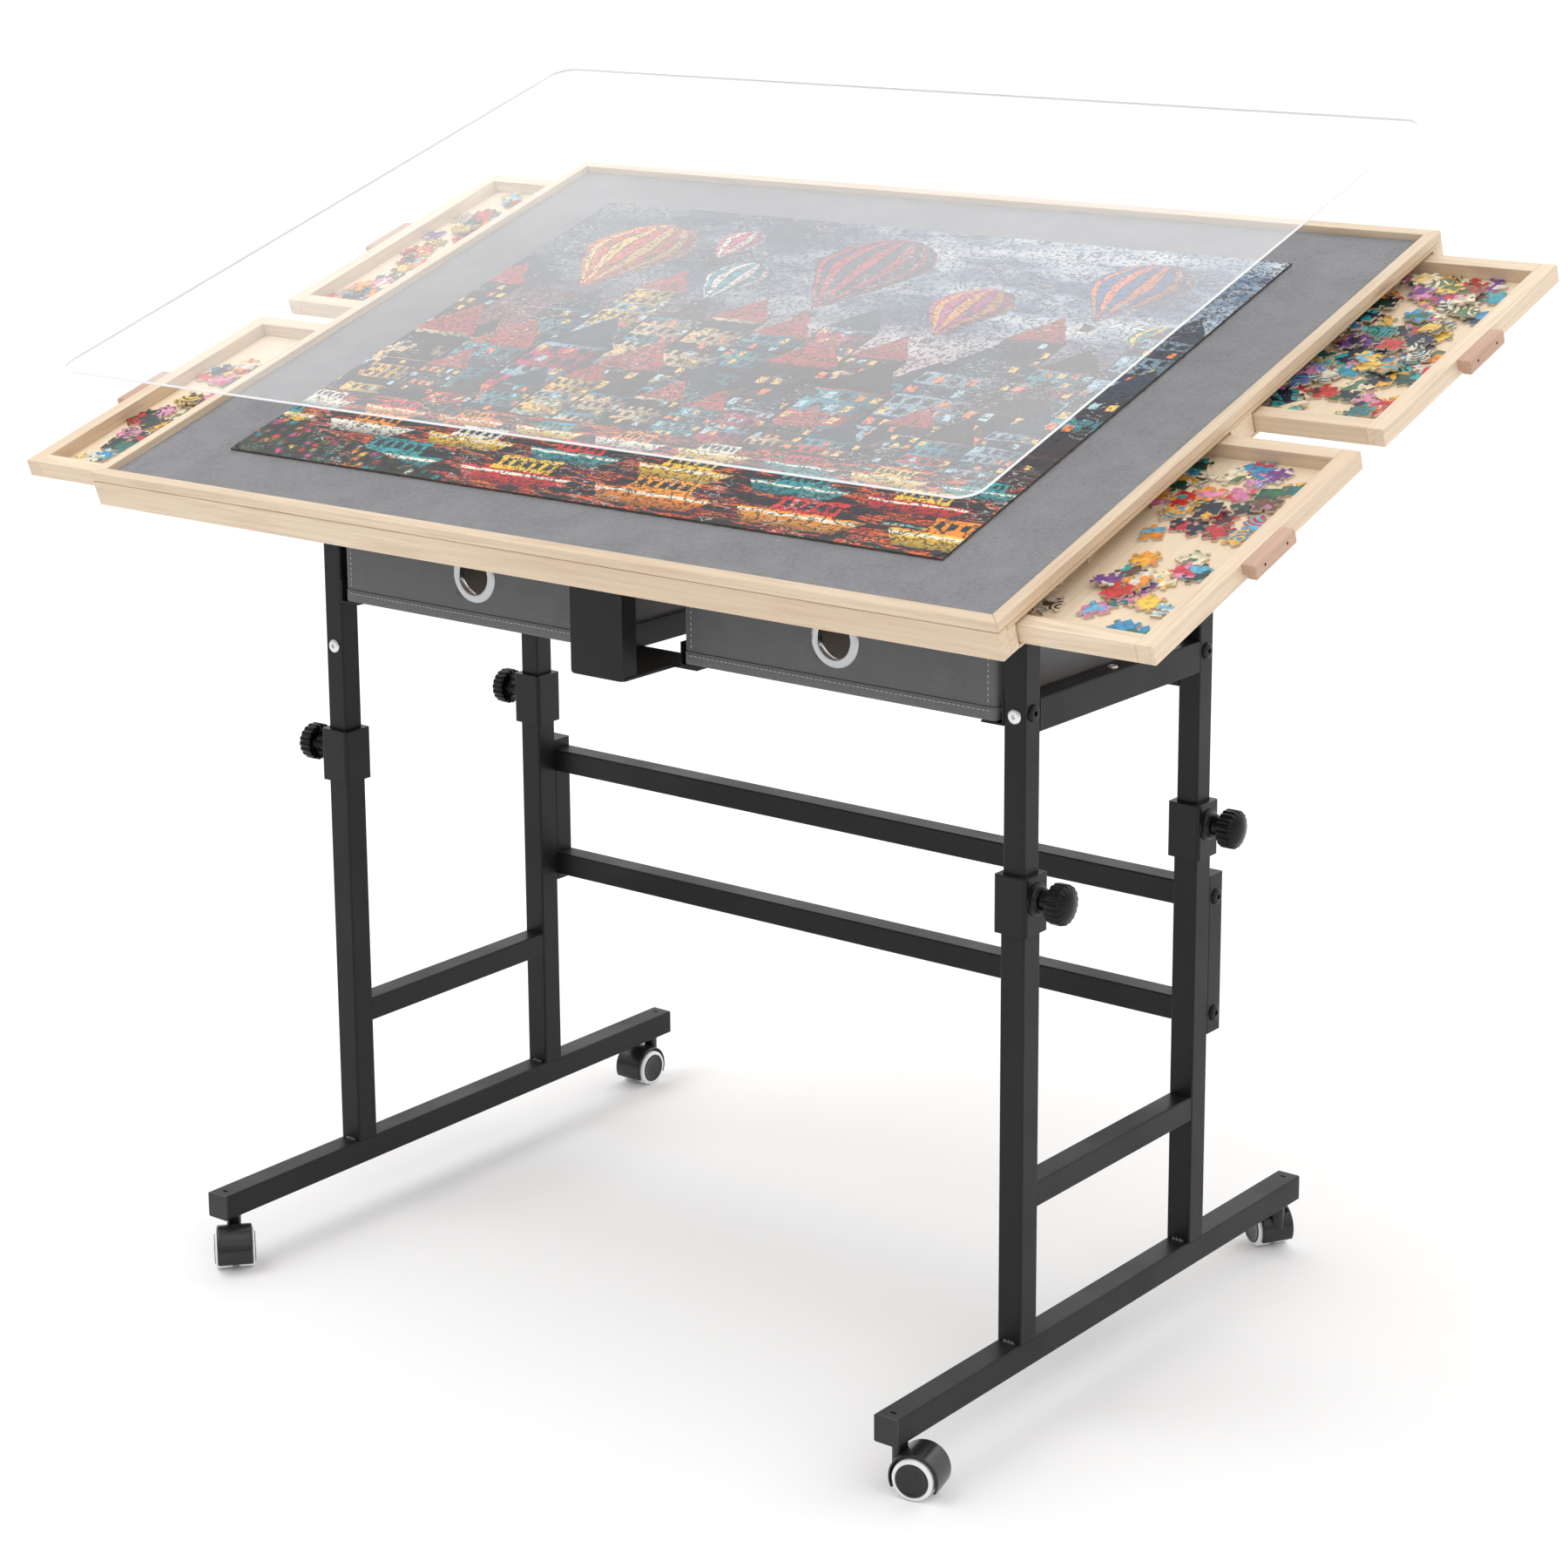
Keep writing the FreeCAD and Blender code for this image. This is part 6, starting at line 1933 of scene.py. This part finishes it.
@dataclass
class LoosePieces:
    """Loose jigsaw pieces that lie in the trays in a few layers."""

    size: float = 17.4
    thick: float = 1.8
    pitch: float = 17.5
    wobble: float = 5.5
    jitter: float = 1.3
    top: float = -13.2
    layer: float = 1.9
    clear: float = 0.05
    first_seed: int = 40

    FILL = {
        ("front", "left"): ([24, 3], 56.0, 12.0), ("rear", "left"): ([28, 5], 56.0, 11.0),
        ("front", "right"): ([44, 5], 20.0, 110.0), ("rear", "right"): ([64, 32, 6], 0.0, 60.0),
    }

    def shapes(self, rng: np.random.Generator, count: int) -> Array:
        """Outlines of single pieces about their middles, each with its own tabs."""
        square = self.size / 2 * np.array([(-1, -1), (1, -1), (1, 1), (-1, 1)])
        at = square + rng.uniform(-self.jitter, self.jitter, (count, 4, 2))
        sign = rng.choice([-1.0, 1.0, 0.0], (count, 4), p=[0.48, 0.48, 0.04])
        cuts = cut_edges(at, np.roll(at, -1, 1), LOOSE_TAB, sign, rng)
        return cuts[:, :, :-1].reshape(count, -1, 2)

    def spread(
        self, rng: np.random.Generator, area: Array, counts: list[int], line: float, pull: float
    ) -> tuple[Array, Array]:
        """Places on a jittered grid, layer on layer, thickest in clusters and along a line.

        Each place draws a random time that its weight shortens, and the first count of them hold a
        piece. The weight is exp(0.5 waves - distance from the line / pull), with waves = the sum
        of two sines of x and depth.

        Args:
            rng: Source of the random draws.
            area: Lowest and highest x and depth of the tray's floor that shows beside the board.
            counts: Number of pieces in each layer.
            line: How far outside the board's edge the line runs.
            pull: How fast the pieces thin out away from the line.

        Returns:
            Places (x, depth) and the layer of each.
        """
        places, layers = [], []
        low, high = area[0] + self.size * 0.66, area[1] - self.size * 0.66
        phase = rng.uniform(0, 6, 2)
        for number, count in enumerate(counts):
            offset = self.pitch * 0.5 * (number % 2)
            xs = np.arange(low[0] + offset, high[0] + 1, self.pitch)
            ds = np.arange(low[1] + offset, high[1] + 1, self.pitch)
            spots = np.stack(np.meshgrid(xs, ds), -1).reshape(-1, 2)
            spots = np.clip(spots + rng.uniform(-self.wobble, self.wobble, spots.shape), low, high)
            waves = np.sin(spots / np.array([17, 23]) + phase).sum(1)
            away = np.abs(np.abs(spots[:, 0]) - BOARD_SIZES.width / 2 - line)
            weight = np.exp(0.5 * waves - away / pull)
            first = np.argsort(rng.exponential(1, len(spots)) / weight)[:count]
            places.append(spots[first])
            layers.append(np.full(len(first), number))
        return np.concatenate(places), np.concatenate(layers)

    def heap(
        self, name: str, area: Array, floor: float, fill: tuple[list[int], float, float], seed: int
    ) -> Piece:
        """Makes one tray's loose pieces as one mesh.

        Each outline is turned by its own angle and tilted about a random line; its height is the
        floor's, plus its layer's, plus what its tilt lifts.

        Args:
            name: The piece's name.
            area: Lowest and highest x and depth of the tray's floor that shows beside the board.
            floor: Height of the tray's floor.
            fill: The counts, line and pull that spread() takes.
            seed: Seed of the random draws.

        Returns:
            The pieces.
        """
        rng = np.random.default_rng(seed)
        places, layers = self.spread(rng, area, *fill)
        count = len(places)
        outline = self.shapes(rng, count)
        yaw = rng.uniform(0, 2 * np.pi, count)[:, None]
        c, s = np.cos(yaw), np.sin(yaw)
        x = outline[..., 0] * c - outline[..., 1] * s
        y = outline[..., 0] * s + outline[..., 1] * c
        lean = np.where(layers > 0, rng.uniform(0.02, 0.12, count), rng.uniform(0, 0.01, count))[:, None]
        way = rng.uniform(0, 2 * np.pi, count)[:, None]
        slope = lean * (x * np.cos(way) + y * np.sin(way))
        base = floor + self.clear + layers[:, None] * self.layer + lean * self.size * 0.35 + slope
        warp = 0.012 * (x**2 - y**2) / self.size * rng.uniform(-1, 1, (count, 1))
        base = np.clip(base + warp, floor + self.clear, self.top - self.thick)
        flat = np.clip(np.stack([x, y], -1) + places[:, None], area[0] + 0.4, area[1] - 0.4)
        page = rng.uniform(0, 3, (count, 1, 2)) + MM * outline
        draw = rng.uniform(0, 1, count)[:, None] + 0 * x
        print_at = np.concatenate([page, draw[..., None]], -1)
        return card_pieces(name, flat, base, base + self.thick, print_at)

    def build(self) -> None:
        """Fills the trays: the right ones well, the left ones in a line beside the board."""
        tray = SortingTray()
        inner, outer = BOARD_SIZES.width / 2 - 2.2 * self.size, tray.outer() - tray.wall
        margin = tray.play + tray.wall
        for seed, ((row, name), fill) in enumerate(self.FILL.items(), self.first_seed):
            front, back = BOARD_SIZES.bays()[row]
            x0, x1 = sorted((SIDES[name] * inner, SIDES[name] * outer))
            area = np.array([(x0, front + margin), (x1, back - margin)])
            where = row + "_" + name
            piece = self.heap("loose_pieces_" + where, area, tray.floor_top, fill, seed)
            settle(piece, "tray_" + where, "puzzle_card", "", LOOSE_CARD, PALE_CARD)


@dataclass
class ClearCover:
    """The clear sheet that keeps the puzzle in place, held up over the board."""

    sheet: float = 2.0
    lift: float = 90.0
    corner: float = 18.0
    arris: float = 0.45

    def build(self) -> None:
        """Makes the sheet: rings of a rounded rectangle up its edge, closed by its two faces.

        Its rim is a finish of its own, because a sawn and polished edge gathers light.
        """
        half_x, half_y, arris = BOARD_SIZES.width / 2, BOARD_SIZES.depth / 2, self.arris
        rings = []
        for inset, height in ((arris, 0), (0, arris), (0, self.sheet - arris), (arris, self.sheet)):
            flat = rounded_ring(half_x - inset, half_y - inset, self.corner - inset, 12, 12)
            rings.append(np.column_stack([flat, np.full(len(flat), self.lift + height)]))
        points, cols = np.concatenate(rings) + np.array([0, half_y, 0]), len(rings[0])
        kinds = np.repeat([1, 0], [3 * cols, 2])
        piece = make_piece("clear_sheet", (points, tube_faces(4, cols)), 20, True, kinds)
        settle(piece, "clear_cover", "acrylic", "cover", CLEAR, SHEET_EDGE)


# ---------- studio


@dataclass
class Studio:
    """The pale floor, the soft lights and the camera."""

    floor_half: float = 40000.0
    place: Triple = (1.713806, -2.116293, 1.178875)
    right: Triple = (0.80897147, 0.58784198, 0.00263974)
    up: Triple = (-0.1285966, 0.17258567, 0.97656393)
    ahead: Triple = (-0.57360969, 0.79035182, -0.21521136)
    lens: float = 80.17
    shift: Pair = (-0.0949, -0.1335)

    def floor(self) -> None:
        """A wide pale floor."""
        points = self.floor_half * np.array([(-1.0, -1, 0), (1, -1, 0), (1, 1, 0), (-1, 1, 0)])
        piece = make_piece("studio_floor", (points, [np.array([[0, 1, 2, 3]])]))
        piece.data.materials.append(FLOOR.material())

    def hold(self, name: str, data: bpy.types.ID, place: Triple, turn: Matrix) -> Piece:
        """Puts a light or a camera at place, turned by turn."""
        holder = bpy.data.objects.new(name, data)
        bpy.context.scene.collection.objects.link(holder)
        holder.matrix_world = Matrix.Translation(place) @ turn.to_4x4()
        return holder

    def lights(self) -> None:
        """A bright surround, a large key from above and the left, a fill from the right and a rear light.

        The surround's strength in direction d is 0.62 + 0.8 d_z (above the horizon) + 0.35 d_y. Each
        light is a square of 2 m that looks at a point over the floor's middle.
        """
        world = bpy.data.worlds.new("surround")
        world.use_nodes = True
        background = world.node_tree.nodes["Background"]
        background.inputs[0].default_value = rgb(1.0, 1.0, 1.0)
        graph = Graph(world.node_tree)
        _, back, up = graph.value("TexCoord", output="Generated").parts()
        graph.feed(background.inputs[1], back * 0.35 + (up.at_least(0.0) * 0.8 + 0.62))
        bpy.context.scene.world = world
        for name, place, height, power in (
            ("key", (-1.6, -1.2, 3.4), 0.6, 30.0),
            ("fill", (3.0, -1.6, 2.2), 0.5, 9.0),
            ("rear", (0.4, 3.0, 2.6), 0.6, 9.0),
        ):
            lamp = bpy.data.lights.new(name, "AREA")
            lamp.size = 2.0
            lamp.energy = power
            way = Vector((0.0, 0.0, height)) - Vector(place)
            self.hold(name, lamp, place, way.to_track_quat("-Z", "Y").to_matrix())

    def camera(self) -> None:
        """A long lens from the front right, a little above the board."""
        eye = bpy.data.cameras.new("eye")
        eye.lens = self.lens
        eye.sensor_width = 36.0
        eye.shift_x, eye.shift_y = self.shift
        eye.clip_end = 200.0
        turn = Matrix((self.right, self.up, -Vector(self.ahead))).transposed()
        bpy.context.scene.camera = self.hold("eye", eye, self.place, turn)

    def build(self) -> None:
        """Sets up the studio."""
        self.floor()
        self.lights()
        self.camera()
        bpy.context.scene.view_settings.view_transform = "Standard"


def main() -> None:
    """Builds the table and the studio."""
    logging.basicConfig(level=logging.INFO, format="%(message)s")
    for part in (
        Studio(), SteelFrame(), Fasteners(), ClampKnob(), CasterWheels(), BOARD_SIZES, SortingTray(),
        LoosePieces(), FinishedPuzzle(), FabricDrawer(), ClearCover(),
    ):
        part.build()
    bpy.context.view_layer.update()


if __name__ == "__main__":
    main()
